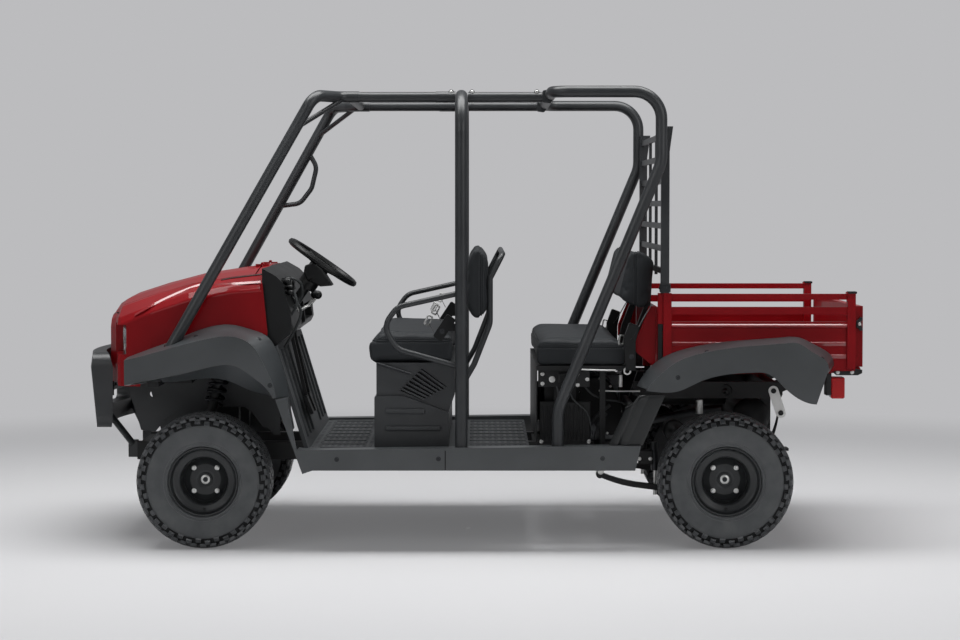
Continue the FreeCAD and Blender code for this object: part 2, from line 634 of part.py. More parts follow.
def roof_rails():
    """Front header and the two side rails, sleeved over the pillars and clamped at the hoops."""
    solids = []
    for side in (-1, 1):
        y = side * RAIL_Y
        front = rod((640 + SEAT_GAP, y, RAIL_Z), (MIDDLE_X - MIDDLE_R - SEAT_GAP, y, RAIL_Z), RAIL_R)
        collar = rod((960, y, RAIL_Z), (MIDDLE_X - MIDDLE_R - SEAT_GAP, y, RAIL_Z), RAIL_R + 2)
        ear = rod((MIDDLE_X - MIDDLE_R - 18, y - 12, RAIL_Z + 20), (MIDDLE_X - MIDDLE_R - 18, y + 12, RAIL_Z + 20), 11)
        solids.append(fuse([front, collar, ear]))
        rear = rod((MIDDLE_X + MIDDLE_R + SEAT_GAP, y, RAIL_Z), (REAR_JOINT_X - 35 - SEAT_GAP, y, RAIL_Z), RAIL_R)
        ears = []
        for x in (MIDDLE_X + MIDDLE_R + 18, REAR_JOINT_X - 58):
            ears.append(rod((x, y - 12, RAIL_Z + 20), (x, y + 12, RAIL_Z + 20), 11))
        solids.append(fuse([rear] + ears))
    solids.append(rod((600, -RAIL_Y + PILLAR_R + SEAT_GAP, RAIL_Z), (600, RAIL_Y - PILLAR_R - SEAT_GAP, RAIL_Z), 19))
    return solids


def middle_hoop():
    """Middle hoop with the hip loops welded to its legs."""
    legs = []
    lip = FLOOR_HALF + SEAT_GAP + MOULDING + 1
    for side in (-1, 1):
        legs.append(box(MIDDLE_X - 34, MIDDLE_X + 34, min(side * lip, side * 757), max(side * lip, side * 757),
                        HOOP_SEAT_Z + SEAT_GAP, HOOP_SEAT_Z + 7))
        y = side * (PILLAR_Y - 14)
        loop = [(MIDDLE_X - 10, y, 1062), (806, y, 1006), (748, y, 926), (806, y, 832), (MIDDLE_X - 10, y, 762)]
        legs.append(tube(loop, 11.5, 74))
    foot = HOOP_SEAT_Z + SEAT_GAP
    path = [(MIDDLE_X, -PILLAR_Y, foot), (MIDDLE_X, -PILLAR_Y, RAIL_Z), (MIDDLE_X, PILLAR_Y, RAIL_Z),
            (MIDDLE_X, PILLAR_Y, foot)]
    return fuse([tube(path, MIDDLE_R, 150)] + legs)


def rear_hoop():
    """Rear hoop: one tube from foot to foot, bent forward over the rear seats to the rail joint."""
    half = []
    for x, z in ((1464, HOOP_SEAT_Z + SEAT_GAP), (1464, 583), (1885, 1596), (1885, REAR_HOOP_Z), (REAR_JOINT_X, REAR_HOOP_Z)):
        half.append((x, -REAR_HOOP_Y, z))
    other = [(x, -y, z) for x, y, z in reversed(half)]
    hoop = tube(half + other, PILLAR_R, [0, 190, 150, 112, 70, 70, 112, 150, 190, 0])
    plates = []
    for side in (-1, 1):
        plates.append(box(1430, 1498, min(side * 705, side * 753), max(side * 705, side * 753),
                          HOOP_SEAT_Z + SEAT_GAP, HOOP_SEAT_Z + 7))
        y = side * RAIL_Y
        x, z = REAR_JOINT_X, RAIL_Z
        plates.append(plate_xz([(x - 35, z - 23), (x - 35, z + 27), (x + 8, z + 32), (x + 24, z + 12),
                                (x - 2, z - 27)], y - 22, y + 22, 8))
    return fuse([hoop] + plates)


# Front end

def headlamps():
    solids = []
    inner = nose_block(22)
    for side in (-1, 1):
        y0, y1 = sorted((side * LAMP_Y[0], side * LAMP_Y[1]))
        z0, z1 = LAMP_Z
        lens = box(NOSE_X, LAMP_BACK - SEAT_GAP, y0 + SEAT_GAP, y1 - SEAT_GAP, z0 + SEAT_GAP, z1 - SEAT_GAP)
        solids.append(inner.common(lens).Solids[0])
    return solids


def bowed(x_side, x_middle, half, z):
    """An arc across the vehicle, seen from above."""
    return Part.Arc(V(x_side, -half, z), V(x_middle, 0, z), V(x_side, half, z)).toShape()


def bowed_band(outer, inner, half, z):
    """Wire of a curved band in plan; outer and inner give x at the side and in the middle."""
    return Part.Wire([bowed(outer[0], outer[1], half, z), line((outer[0], half, z), (inner[0], half, z)),
                      bowed(inner[0], inner[1], half, z), line((inner[0], -half, z), (outer[0], -half, z))])


def grille():
    """Intake panel bowed forward below the nose, pierced in rows."""
    half, (low, high) = GRILLE_Y - SEAT_GAP, GRILLE_Z
    wire = bowed_band((-428, GRILLE_FRONT_X), (-420, GRILLE_FRONT_X + 8), half, low + SEAT_GAP)
    panel = Part.Face(wire).extrude(V(0, 0, high - low - 2 * SEAT_GAP))
    slots = []
    rows, columns = 5, 8
    for i in range(rows):
        z = low + 16 + i * (high - low - 20) / rows
        for j in range(columns):
            y = -half + 16 + j * (2 * half - 22) / columns
            slots.append(box(GRILLE_FRONT_X - 20, -400, y, y + (2 * half - 22) / columns - 10, z, z + 16))
    return panel.cut(Part.makeCompound(slots))


def bumper():
    """Moulded guard: an upright ring bowed forward in plan, with its two struts."""
    side_x = NOSE_X + 43
    sections = []
    for z, lean, depth in ((460, 26, 63), (735, 0, 94), (820, 12, 62)):
        outer = (side_x + lean, NOSE_X + lean)
        inner = (side_x + lean + depth, NOSE_X + lean + 52)
        sections.append(bowed_band(outer, inner, 412, z))
    band = Part.makeLoft(sections, True, True)
    ring = plate_yz([(-400, 478), (400, 478), (400, 798), (-400, 798)], -600, -340, 56)
    ring = ring.cut(plate_yz([(-322, 552), (322, 552), (322, 732), (-322, 732)], -620, -320, 40))
    body = band.common(ring)
    struts = []
    for side in (-1, 1):
        struts.append(rod((-450, side * 356, 560), (-352, side * 236, 400), 14))
        y0, y1 = sorted((side * 200, side * 244))
        struts.append(box(-368, -330 - SEAT_GAP, y0, y1, 340, 412))
    return fuse([body] + struts)


def dash():
    front = NOSE_STATIONS[-1][0] + SEAT_GAP
    profile = [(front, 1162), (303, 1130), (331, 1102), (339, 1057), (362, 990), (370, 911), (358, 886), (319, 858),
               (front, 796)]
    body = plate_xz(profile, -655, 655, [0, 14, 14, 14, 14, 14, 14, 14, 0])
    pocket = box(330, 400, 120, 560, 915, 985)
    shelf = box(320, 400, -120, 100, 905, 1000)
    return body.cut(Part.makeCompound([pocket, shelf]))


STEER_Y = -340
WHEEL_CENTRE = (476, 1180)
STEER_AXIS = (0.568, 0.823)


def on_column(distance, y=STEER_Y):
    """A point on the steering column, measured down from the wheel's centre."""
    return (WHEEL_CENTRE[0] - STEER_AXIS[0] * distance, y, WHEEL_CENTRE[1] - STEER_AXIS[1] * distance)


def steering_column():
    outer = rod(on_column(52), on_column(280), 20)
    housing = rod(on_column(52), on_column(130), 42)
    bore = rod(on_column(40), on_column(140), 10 + PIN_FIT)
    lever = rod(on_column(90, STEER_Y - 30), (430, STEER_Y - 150, 1120), 6)
    body = fuse([outer, housing, lever]).cut(bore)
    return body.cut(dash())


def steering_wheel():
    direction = V(STEER_AXIS[0], 0, STEER_AXIS[1])
    centre = V(WHEEL_CENTRE[0], STEER_Y, WHEEL_CENTRE[1])
    section = [(158 + 14 * math.cos(math.radians(a)), 0, 14 * math.sin(math.radians(a))) for a in range(0, 360, 45)]
    rim_ring = Part.Face(route(section, 0, True)).revolve(V(0, 0, 0), V(0, 0, 1), 360)
    rim_ring.Placement = FreeCAD.Placement(centre, FreeCAD.Rotation(V(0, 0, 1), direction))
    hub = rod(on_column(4), on_column(46), 44)
    shaft = rod(on_column(20), on_column(130), 10)
    spokes = []
    for i in range(3):
        spoke = rod(on_column(22), (on_column(2)[0], STEER_Y - 156, on_column(2)[2]), 9)
        spoke.rotate(centre, direction, 90 + i * 120)
        spokes.append(spoke)
    return fuse([rim_ring, hub, shaft] + spokes)


def pedals():
    solids = []
    for y, width in ((-420, 34), (-270, 26)):
        pad = plate_xz([(430, 540), (444, 546), (414, 622), (400, 616)], y - width, y + width)
        arm = plate_xz([(404, 608), (344, 866), (345, 900), (360, 900), (360, 866), (418, 612)], y - 7, y + 7)
        solids.append(fuse([pad, arm]).cut(dash()))
    return solids


# Seats

def front_seat_cushion():
    x0, x1 = FRONT_SEAT_X
    z0, z1 = FRONT_SEAT_Z
    side = plate_xz([(x0 + 8, z0), (x0, z1 - 40), (x0 + 60, z1), (x1, z1 - 10), (x1, z0)], -CUSHION_Y, CUSHION_Y)
    return chamfered(side, 14)


def front_seat_back():
    side = plate_xz([(1112, 946), (1094, 1000), (1100, 1200), (1118, 1246), (1150, 1246), (SEAT_BACK_X, 1200),
                     (SEAT_BACK_X, 990), (1150, 946)], -600, 600)
    return chamfered(side, 12)


def grab_rail():
    """Rail behind the front seat back, with the supports that carry the back."""
    solids = []
    x = SEAT_BACK_X + 12 + SEAT_GAP
    points = [(x, -560, 1118), (x + 52, -560, 1219), (x + 52, 560, 1219), (x, 560, 1118)]
    rail = tube(points, 12, 46)
    posts = []
    for side in (-1, 1):
        y = side * 560
        posts.append(tube([(1056, y, 650), (1120, y, 760), (x, y, 930), (x, y, 1130)], 12, 80))
        posts.append(box(1040 + SEAT_GAP, 1062, y - 16, y + 16, 644, 700))
    return fuse([rail] + posts)


def front_seat_base():
    """Moulded seat base: lower cover, upper box and the slanted louvres on both sides."""
    lower = plate_xz([(708, FLOOR_Z + SEAT_GAP), (708, 634), (829, 634), (1015, 568), (1015, FLOOR_Z + SEAT_GAP)],
                     -650, 650, 8)
    upper = plate_xz([(716, 630), (716, FRONT_SEAT_Z[0] - SEAT_GAP), (1040, FRONT_SEAT_Z[0] - SEAT_GAP),
                      (1040, 640), (1012, 560), (840, 560)], -636, 636)
    body = lower.fuse(upper)
    diamond = [(815, 656), (905, 748), (1008, 672), (905, 618)]
    for side in (-1, 1):
        y0, y1 = sorted((side * 606, side * 660))
        body = body.cut(plate_xz(diamond, y0, y1))
    slats = []
    for side in (-1, 1):
        y0, y1 = sorted((side * 600, side * 644))
        for i in range(7):
            share = (i + 0.5) / 7
            a = (815 + 90 * share, 656 + 92 * share)
            b = (905 + 103 * share, 618 + 54 * share)
            slats.append(plate_xz([(a[0] - 4, a[1] - 2), (b[0] - 2, b[1] - 4), (b[0] + 4, b[1] + 2),
                                   (a[0] + 2, a[1] + 4)], y0, y1))
    return body.multiFuse(slats).removeSplitter()


def rear_seat_cushion():
    x0, x1 = REAR_SEAT_X
    z0, z1 = REAR_SEAT_Z
    side = plate_xz([(x0, z0), (x0 - 4, z1 - 30), (x0 + 16, z1), (x1 - 50, z1 - 4), (x1, z1 - 26), (x1, z0)],
                    -CUSHION_Y, CUSHION_Y)
    return chamfered(side, 12)


REAR_BACK = [(1723, 1026), (1773, 1233), (1800, 1243), (1864, 1204), (1845, 1000), (1810, 985)]


def rear_seat_back():
    return chamfered(plate_xz(REAR_BACK, -600, 600), 10)


def rear_seat_frame():
    """Tray under the rear cushion, its front panel and legs, and the arms that hold the back."""
    top = REAR_SEAT_Z[0] - SEAT_GAP
    low = HOOP_SEAT_Z + SEAT_GAP
    tray = box(1378, 1790, -624, 624, top - 20, top).cut(box(1400, 1730, -600, 600, top - 40, top - 3))
    panel = box(1378, 1382, -600, 600, 440, top - 10)
    pieces = [tray, panel]
    for side in (-1, 1):
        for x in OUTRIGGER_X[2:]:
            y = side * 560
            pieces.append(box(x - 12, x + 12, y - 12, y + 12, low, top - 2))
        y = side * 420
        pieces.append(plate_xz([(1764, top - 8), (1790, top - 8), (1826, 880), (1862, 990), (1869, 1110),
                                (1856, 1110), (1846, 1002), (1832, 984), (1792, 880)], y - 22, y + 22))
    return fuse(pieces)


def seat_belts():
    solids = []
    for side in (-1, 1):
        y = side * 668
        reel = plate_xz([(950, 885), (1010, 975), (1046, 950), (985, 860)], y - 18, y + 18, 8)
        y0, y1 = sorted((side * 680, side * 686))
        strap = box(1000, 1080, y0, y1, 905, 935)
        y0, y1 = sorted((side * 684, side * (PILLAR_Y - MIDDLE_R - SEAT_GAP)))
        solids.append(fuse([reel, strap, box(1058, 1078, y0, y1, 905, 935)]))
        rear = plate_xz([(1745, 742), (1735, 872), (1760, 940), (1800, 925), (1785, 860), (1785, 742)],
                        y - 18, y + 18, 8)
        y0, y1 = sorted((side * (624 + SEAT_GAP), side * 686))
        solids.append(fuse([rear, box(1745, 1785, y0, y1, 742, 756)]))
    return solids


# Power train and rear running gear

def engine():
    return box(1520, 1740, -212, 212, HOOP_SEAT_Z + SEAT_GAP, 690)


def fuel_tank():
    body = box(1400, 1560, -530, -260, FLOOR_Z - SHEET + SEAT_GAP, 700)
    neck = rod((1480, -420, 690), (1480, -420, 730), 34)
    return chamfered(body, 14).fuse(neck)


def rear_side_panel(side):
    y_out, y_in = side * 770, side * 700
    y0, y1 = sorted((y_out, y_in))
    outline = behind([(-494, 441.4), (-475, 520), (-464, 583), (-424, 594), (-390, 614), (-370, 641), (-261, 644),
                      (-353, 441.4)])
    body = plate_xz(outline, y0, y1, 6)
    inner = behind([(-484, 440), (-467, 520), (-458, 577), (-422, 588), (-386, 609), (-367, 635), (-269, 638),
                    (-361, 440)])
    y0, y1 = sorted((y_out - side * MOULDING, y_in - side * 30))
    return body.cut(plate_xz(inner, y0, y1))


def rear_suspension():
    """Rear axle with its gear case and the leaf springs."""
    pieces = [rod((WHEELBASE, -HUB_IN_Y + 6, TYRE_R), (WHEELBASE, HUB_IN_Y - 6, TYRE_R), 32)]
    case = rod((WHEELBASE, -90, TYRE_R), (WHEELBASE, 90, TYRE_R), 92)
    pieces.append(case)
    pieces.append(box(WHEELBASE - 190, WHEELBASE, -70, 70, TYRE_R - 60, TYRE_R + 60))
    pieces.append(rod((WHEELBASE, -DISC_Y + 2, TYRE_R), (WHEELBASE, DISC_Y - 2, TYRE_R), SPINDLE_R))
    front, (pin_x, pin_z) = SPRING_FRONT_X, SHACKLE[1]
    line_points = behind([(-513, 284), (-405, 248), (-265, 228), (0, 226), (135, 320)]) + [(pin_x - 6, pin_z - 8)]
    for side in (-1, 1):
        y = side * SPRING_Y
        upper = curve([(x, y - 22, z + 11) for x, z in line_points])
        lower = curve([(x, y - 22, z - 11) for x, z in line_points])
        ends = [line((front, y - 22, 295), (front, y - 22, 273)),
                line((pin_x - 6, y - 22, pin_z + 3), (pin_x - 6, y - 22, pin_z - 19))]
        leaf = Part.Face(Part.Wire([upper, ends[1], lower, ends[0]])).extrude(V(0, 44, 0))
        pieces.append(leaf)
        pieces.append(rod((front, y - 23, 284), (front, y + 23, 284), 16))
        pin_in, pin_out = side * (SPRING_Y - 22), side * (REAR_RAIL_Y + 30)
        pieces.append(rod((pin_x, pin_in, pin_z), (pin_x, pin_out, pin_z), SHACKLE_PIN_R))
        pieces.append(box(WHEELBASE - 40, WHEELBASE + 40, y - 26, y + 26, 212, TYRE_R))
    return fuse(pieces)


def shackles():
    """Plate on each side that hangs the rear end of the leaf spring from the rail."""
    solids = []
    a, b = V(SHACKLE[0][0], 0, SHACKLE[0][1]), V(SHACKLE[1][0], 0, SHACKLE[1][1])
    across = (b - a).normalize().cross(V(0, 1, 0)) * SHACKLE_R
    corners = [(p.x, p.z) for p in (a + across, b + across, b - across, a - across)]
    for side in (-1, 1):
        y0 = side * (REAR_RAIL_Y + 20 + SEAT_GAP)
        y1 = y0 + side * 6
        ends = [rod((p.x, y0, p.z), (p.x, y1, p.z), SHACKLE_R) for p in (a, b)]
        bores = [rod((p.x, y0 - side, p.z), (p.x, y1 + side, p.z), SHACKLE_PIN_R + PIN_FIT) for p in (a, b)]
        plate = fuse([plate_xz(corners, min(y0, y1), max(y0, y1))] + ends)
        solids.append(plate.cut(Part.makeCompound(bores)))
    return solids


# Cargo bed

def bed_box():
    """Steel bed: floor on two channels, side sheets, posts and rails, and the front wall."""
    inner = BED_Y - BED_POST
    wall = BED_Y - 15        # inner face of each side sheet
    pieces = [box(BED_FRONT_X, BED_REAR_X, -wall, wall, BED_FLOOR_Z - SHEET, BED_FLOOR_Z)]
    for i in range(11):
        y = -550 + i * 110
        pieces.append(box(BED_FRONT_X + 30, BED_REAR_X - 30, y - 22, y + 22, BED_FLOOR_Z - 1, BED_FLOOR_Z + 6))
    pieces.append(box(BED_FRONT_X - 26, BED_FRONT_X - 22, -inner - 10, inner + 10, BED_FLOOR_Z - 15, 1004))
    pieces.append(box(BED_FRONT_X - 26, BED_FRONT_X + 6, -inner - 10, inner + 10, BED_FLOOR_Z - 15, BED_FLOOR_Z))
    for side in (-1, 1):
        y0, y1 = sorted((side * 262, side * 292))
        channel = box(BED_FRONT_X - 20, BED_REAR_X - 64, y0, y1, BED_SUB_Z, BED_FLOOR_Z - 1)
        bore = rod((BED_HINGE[0], side * 240, BED_HINGE[1]), (BED_HINGE[0], side * 300, BED_HINGE[1]), 10 + PIN_FIT)
        pieces.append(channel.cut(bore))
        y0, y1 = sorted((side * wall, side * (wall + SHEET)))
        pieces.append(box(BED_FRONT_X, BED_REAR_X, y0, y1, BED_FLOOR_Z - 20, BED_SIDE_TOP))
        y0, y1 = sorted((side * (wall - 8), side * (wall + 10)))
        pieces.append(box(BED_FRONT_X + 10, BED_REAR_X - 10, y0, y1, BED_SIDE_TOP - 14, BED_SIDE_TOP))
        y0, y1 = sorted((side * inner, side * BED_Y))
        for x0 in (BED_FRONT_X, BED_REAR_X - BED_POST):
            pieces.append(box(x0, x0 + BED_POST, y0, y1, BED_FLOOR_Z - 12, BED_TOP - 4))
            cap0, cap1 = sorted((side * (inner - 3), side * (BED_Y + 3)))
            if x0 > BED_FRONT_X:
                pieces.append(box(x0 - 3, x0 + BED_POST, cap0, cap1, BED_TOP - 8, BED_TOP))
        y0, y1 = sorted((side * (inner + 4), side * (BED_Y - 6)))
        for z0, z1 in BED_RAIL_Z:
            pieces.append(box(BED_FRONT_X + 10, BED_REAR_X - 10, y0, y1, z0, z1))
    for x in (WHEELBASE - 205, WHEELBASE + 35, WHEELBASE + 275, WHEELBASE + 485):
        pieces.append(box(x - 22, x + 22, -inner, inner, BED_FLOOR_Z - 30, BED_FLOOR_Z - 1))
    for side in (-1, 1):
        y0, y1 = sorted((side * 340, side * inner))
        pieces.append(box(WHEELBASE + 405, WHEELBASE + 447, y0, y1, BED_FLOOR_Z - 30, BED_FLOOR_Z - 1))
        y0, y1 = sorted((side * 600, side * 612))
        pieces.append(box(BED_REAR_X - 61, GATE_PIN_X, y0, y1, GATE_HINGE_Z - GATE_PIN_CLEAR, GATE_HINGE_Z + GATE_PIN_CLEAR))
        pieces.append(rod((GATE_PIN_X, y0, GATE_HINGE_Z), (GATE_PIN_X, y1, GATE_HINGE_Z), GATE_PIN_CLEAR))
        pieces.append(rod((GATE_PIN_X, side * 566, GATE_HINGE_Z), (GATE_PIN_X, side * 606, GATE_HINGE_Z), 5))
    return fuse(pieces)


def tailgate():
    """Pressed gate with a folded border and its hinge barrels."""
    half = 640
    low = GATE_HINGE_Z + 13
    panel = box(GATE_X[0], GATE_X[1], -half, half, low, GATE_TOP)
    recess = box(GATE_X[0] + SHEET, GATE_X[1] + 1, -half + 26, half - 26, low + 22, GATE_TOP - 22)
    panel = panel.cut(recess)
    pieces = [panel]
    for side in (-1, 1):
        y0, y1 = sorted((side * 566, side * 592))
        barrel = rod((GATE_PIN_X, side * 566, GATE_HINGE_Z), (GATE_PIN_X, side * 592, GATE_HINGE_Z), 11)
        web = box(GATE_PIN_X - 6, GATE_PIN_X + 6, y0, y1, GATE_HINGE_Z, low + 2)
        bore = rod((GATE_PIN_X, side * 560, GATE_HINGE_Z), (GATE_PIN_X, side * 600, GATE_HINGE_Z), 5 + PIN_FIT)
        pieces.append(fuse([barrel, web]).cut(bore))
    for i in range(5):
        y = -480 + i * 240
        pieces.append(box(GATE_X[0] + 1, GATE_X[1] - 8, y - 14, y + 14, low + 10, GATE_TOP - 10))
    return fuse(pieces)


def screen():
    """Screen behind the rear seats, standing on the bed's front posts."""
    inner = BED_Y - BED_POST
    x = BED_FRONT_X
    pieces = []
    for side in (-1, 1):
        y0, y1 = sorted((side * inner, side * BED_Y))
        pieces.append(box(x - 10, x + 24, y0, y1, BED_TOP - 4, SCREEN_TOP - 23))
        pieces.append(plate_xz([(x - 8, SCREEN_TOP - 105), (x - 8, SCREEN_TOP), (x + 38, SCREEN_TOP),
                                (x + 24, SCREEN_TOP - 105)], y0 + 2, y1 - 2))
        y = side * 184
        pieces.append(box(x, x + 12, y - 12, y + 12, BED_TOP + 60, SCREEN_TOP - 23))
    for i in range(7):
        z = 1150 + i * 93
        pieces.append(box(x - 2, x + 10, -inner - 4, inner + 4, z - 12, z + 12))
    return fuse(pieces)


def tail_lamps():
    solids = []
    for side in (-1, 1):
        y0, y1 = sorted((side * 580, side * 645))
        mount = box(WHEELBASE + 412, WHEELBASE + 433, y0 + 4, y1 - 4, 640, BED_FLOOR_Z - 30 - SEAT_GAP)
        lens = chamfered(box(WHEELBASE + 431, WHEELBASE + 488, y0, y1, 623, 712), 5)
        solids.append(fuse([mount, lens]))
    return solids


HOOD_AXIS = (208, 1171)


def add_hood_hinges(body, hood):
    """Two small barrel hinges on top of the seam between hood lid and cowl."""
    for side in (-1, 1):
        a, b, c = side * 180, side * 200, side * 221
        x, z = HOOD_AXIS
        y0, y1 = sorted((a, b - side * 0.6))
        own = fuse([rod((x, y0, z), (x, y1, z), 6), box(x - 30, x - 2, y0, y1, 1150, z - 2)])
        own = own.cut(rod((x, y0 - 1, z), (x, y1 + 1, z), 2.5 + PIN_FIT))
        hood = hood.fuse(own)
        y2, y3 = sorted((b, c))
        fixed = fuse([rod((x, y2, z), (x, y3, z), 6), box(x + 3, x + 30, y2, y3, 1150, z - 2)])
        pin0, pin1 = sorted((a + side, c))
        body = body.fuse(fixed.fuse(rod((x, pin0, z), (x, pin1, z), 2.5)))
    return body, hood


def build():
    os.makedirs("parts", exist_ok=True)
    wheels()
    for name, side in (("left", -1), ("right", 1)):
        export("knuckle_" + name, knuckle(side))
        tube_holes = []
        for x, y in ((MIDDLE_X, PILLAR_Y), (1464, REAR_HOOP_Y)):
            tube_holes.append(rod((x, side * y, SILL_BOTTOM), (x, side * y, 470), MIDDLE_R + 2))
        export("skirt_" + name, skirt(side).cut(Part.makeCompound(tube_holes)))
        export("front_fender_" + name, front_fender(side))
        export("rear_fender_" + name, fender(side, REAR_FENDER_IN, RF_TOP, RF_RIDGE, RF_LIP))
        export("pillar_" + name, pillar(side))
        export("rear_side_panel_" + name, rear_side_panel(side))
    body, hood = add_hood_hinges(*front_body_and_hood())
    export("front_body", body)
    export("hood", hood)
    for make in (front_suspension, frame, floor, front_liners, shackles, roof_rails, middle_hoop, rear_hoop,
                 headlamps, grille, bumper, dash, steering_column, steering_wheel, pedals, front_seat_cushion,
                 front_seat_back, grab_rail, front_seat_base, rear_seat_cushion, rear_seat_back, rear_seat_frame,
                 seat_belts, engine, fuel_tank, rear_suspension, bed_box, tailgate, screen, tail_lamps):
        export(make.__name__, make())


build()
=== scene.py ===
import math

import bmesh
import bpy
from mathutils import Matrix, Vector
from mathutils.bvhtree import BVHTree


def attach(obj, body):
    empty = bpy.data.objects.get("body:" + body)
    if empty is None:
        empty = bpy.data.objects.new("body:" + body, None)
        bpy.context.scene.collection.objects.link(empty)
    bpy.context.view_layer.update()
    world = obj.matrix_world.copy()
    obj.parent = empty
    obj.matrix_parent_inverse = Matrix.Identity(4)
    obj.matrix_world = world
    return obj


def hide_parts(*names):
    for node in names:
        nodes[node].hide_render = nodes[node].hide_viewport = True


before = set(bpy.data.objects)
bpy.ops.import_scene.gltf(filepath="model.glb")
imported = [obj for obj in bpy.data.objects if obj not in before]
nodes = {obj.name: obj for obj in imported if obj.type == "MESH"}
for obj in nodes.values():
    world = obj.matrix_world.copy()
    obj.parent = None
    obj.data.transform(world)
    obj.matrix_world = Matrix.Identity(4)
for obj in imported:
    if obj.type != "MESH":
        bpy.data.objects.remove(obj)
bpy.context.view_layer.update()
scene = bpy.context.scene
print("frame loaded:", len(nodes), "nodes")

# Lengths below are millimetres, with x counted from the front axle to the rear, y to the
# vehicle's right and z up from the ground.
middleX = 1092.5
bothSides = (("left", -1), ("right", 1))


def place(x, y, z):
    return Vector(((x - middleX) / 1000, y / 1000, z / 1000))


def linked(name, data):
    made = bpy.data.objects.new(name, data)
    scene.collection.objects.link(made)
    return made


def smoothFaces(piece, smooth=True):
    for face in piece.data.polygons:
        face.use_smooth = smooth


def addMesh(name, points, faces, body, smooth=True):
    mesh = bpy.data.meshes.new(name)
    mesh.from_pydata([place(*p) for p in points], [], faces)
    piece = linked(name, mesh)
    smoothFaces(piece, smooth)
    piece["rides"] = body
    return piece


def addEdges(piece, runs):
    piece.data.edges.add(len(runs))
    for edge, run in zip(piece.data.edges, runs):
        edge.vertices = run


def faceOutwards(piece, merge=None):
    # merge is in metres: points closer than this become one first
    shape = bmesh.new()
    shape.from_mesh(piece.data)
    if merge:
        bmesh.ops.remove_doubles(shape, verts=shape.verts, dist=merge)
    bmesh.ops.recalc_face_normals(shape, faces=shape.faces)
    shape.to_mesh(piece.data)
    shape.free()


def bandFaces(rings, count):
    # the faces between closed rings of count points
    pairs = [(i * count + k, i * count + (k + 1) % count) for i in range(rings - 1) for k in range(count)]
    return [(a, b, b + count, a + count) for a, b in pairs]


def prismFaces(count):
    # two outlines of count points, and the walls between them
    walls = [(i, i + count, (i + 1) % count + count, (i + 1) % count) for i in range(count)]
    return [tuple(range(count)), tuple(reversed(range(count, 2 * count)))] + walls


def finishPiece(piece, material):
    # everything that a piece needs at the end: finish, body and slot
    piece.data.materials.clear()
    piece.data.materials.append(material)
    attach(piece, piece["rides"])
    del piece["rides"]
    return piece


def addWall(piece, thickness, offset):
    # offset is -1 for a wall that lies inside the sheet and 0 for one about it
    wall = piece.modifiers.new("wall", "SOLIDIFY")
    wall.thickness = thickness / 1000
    wall.offset = offset


def applyModifiers(piece):
    # turns the evaluated piece into a plain mesh
    evaluated = piece.evaluated_get(bpy.context.evaluated_depsgraph_get())
    plain = bpy.data.meshes.new_from_object(evaluated)
    piece.modifiers.clear()
    old = piece.data
    piece.data = plain
    bpy.data.meshes.remove(old)
    return piece


# finishes

def toLinear(hexColour):
    parts = [int(hexColour[i:i + 2], 16) / 255 for i in (1, 3, 5)]
    return [p / 12.92 if p <= 0.04045 else ((p + 0.055) / 1.055) ** 2.4 for p in parts] + [1]


def addNode(tree, kind, settings=None, inputs=None):
    # a linked input is given as (node, output), any other as a value
    made = tree.nodes.new(kind)
    for key, value in (settings or {}).items():
        setattr(made, key, value)
    for key, value in (inputs or {}).items():
        if isinstance(value, tuple) and len(value) == 2 and hasattr(value[0], "outputs"):
            tree.links.new(value[0].outputs[value[1]], made.inputs[key])
        else:
            made.inputs[key].default_value = value
    return made


def mathNode(tree, operation, first, second):
    return (addNode(tree, "ShaderNodeMath", {"operation": operation}, {0: first, 1: second}), 0)


def ramp(tree, source, *stops):
    # two stops, each (position, colour)
    made = addNode(tree, "ShaderNodeValToRGB", inputs={"Fac": source})
    for element, (position, colour) in zip(made.color_ramp.elements, stops):
        element.position = position
        element.color = toLinear(colour)
    return (made, "Color")


def newMaterial(name, values):
    # values are the same all over the surface, so they go on the shader's own sockets
    made = bpy.data.materials.new(name)
    made.use_nodes = True
    tree = made.node_tree
    tree.nodes.clear()
    shader = addNode(tree, "ShaderNodeBsdfPrincipled", inputs=values)
    addNode(tree, "ShaderNodeOutputMaterial", inputs={"Surface": (shader, 0)})
    return made, tree, shader


def objectPoint(tree):
    return (addNode(tree, "ShaderNodeTexCoord"), "Object")


def link(tree, shader, sources):
    for label, (node, output) in sources.items():
        tree.links.new(node.outputs[output], shader.inputs[label])


def noise(tree, point, size, detail):
    # noise with cells of this many millimetres
    made = addNode(tree, "ShaderNodeTexNoise",
                   inputs={"Vector": point, "Scale": 1000 / size, "Detail": detail})
    return (made, "Fac")


def grained(name, colours, roughness, grain, depth, patch=180, specular=0.5, coat=0.0, coatRoughness=0.1,
            metallic=0.0, worn=None):
    # a moulded, painted or coated surface: slow colour drift, a fine grain and slightly uneven gloss
    made, tree, shader = newMaterial(name, {"Specular IOR Level": specular, "Coat Weight": coat,
                                            "Coat Roughness": coatRoughness, "Metallic": metallic})
    point, uneven = objectPoint(tree), 0.06
    drift, cells = noise(tree, point, patch, 4.0), noise(tree, point, grain, 2.0)
    colour = ramp(tree, drift, (0.3, colours[0]), (0.7, colours[1]))
    # sharp, convex edges turn lighter: partly rubbed pale, partly a painted highlight
    if worn:
        edges = (addNode(tree, "ShaderNodeNewGeometry"), "Pointiness")
        scuffAndHighlight = addNode(tree, "ShaderNodeMix", {"data_type": "RGBA"},
                        {"Factor": ramp(tree, edges, (0.52, "#000000"), (0.62, "#ffffff")), 6: colour,
                         7: toLinear(worn)})
        colour = (scuffAndHighlight, 2)
    gloss = addNode(tree, "ShaderNodeMapRange",
                    inputs={"Value": drift, "To Min": roughness - uneven, "To Max": roughness + uneven})
    bump = addNode(tree, "ShaderNodeBump",
                   inputs={"Height": cells, "Distance": depth / 1000, "Strength": 0.6})
    link(tree, shader, {"Base Color": colour, "Roughness": (gloss, 0), "Normal": (bump, 0)})
    return made


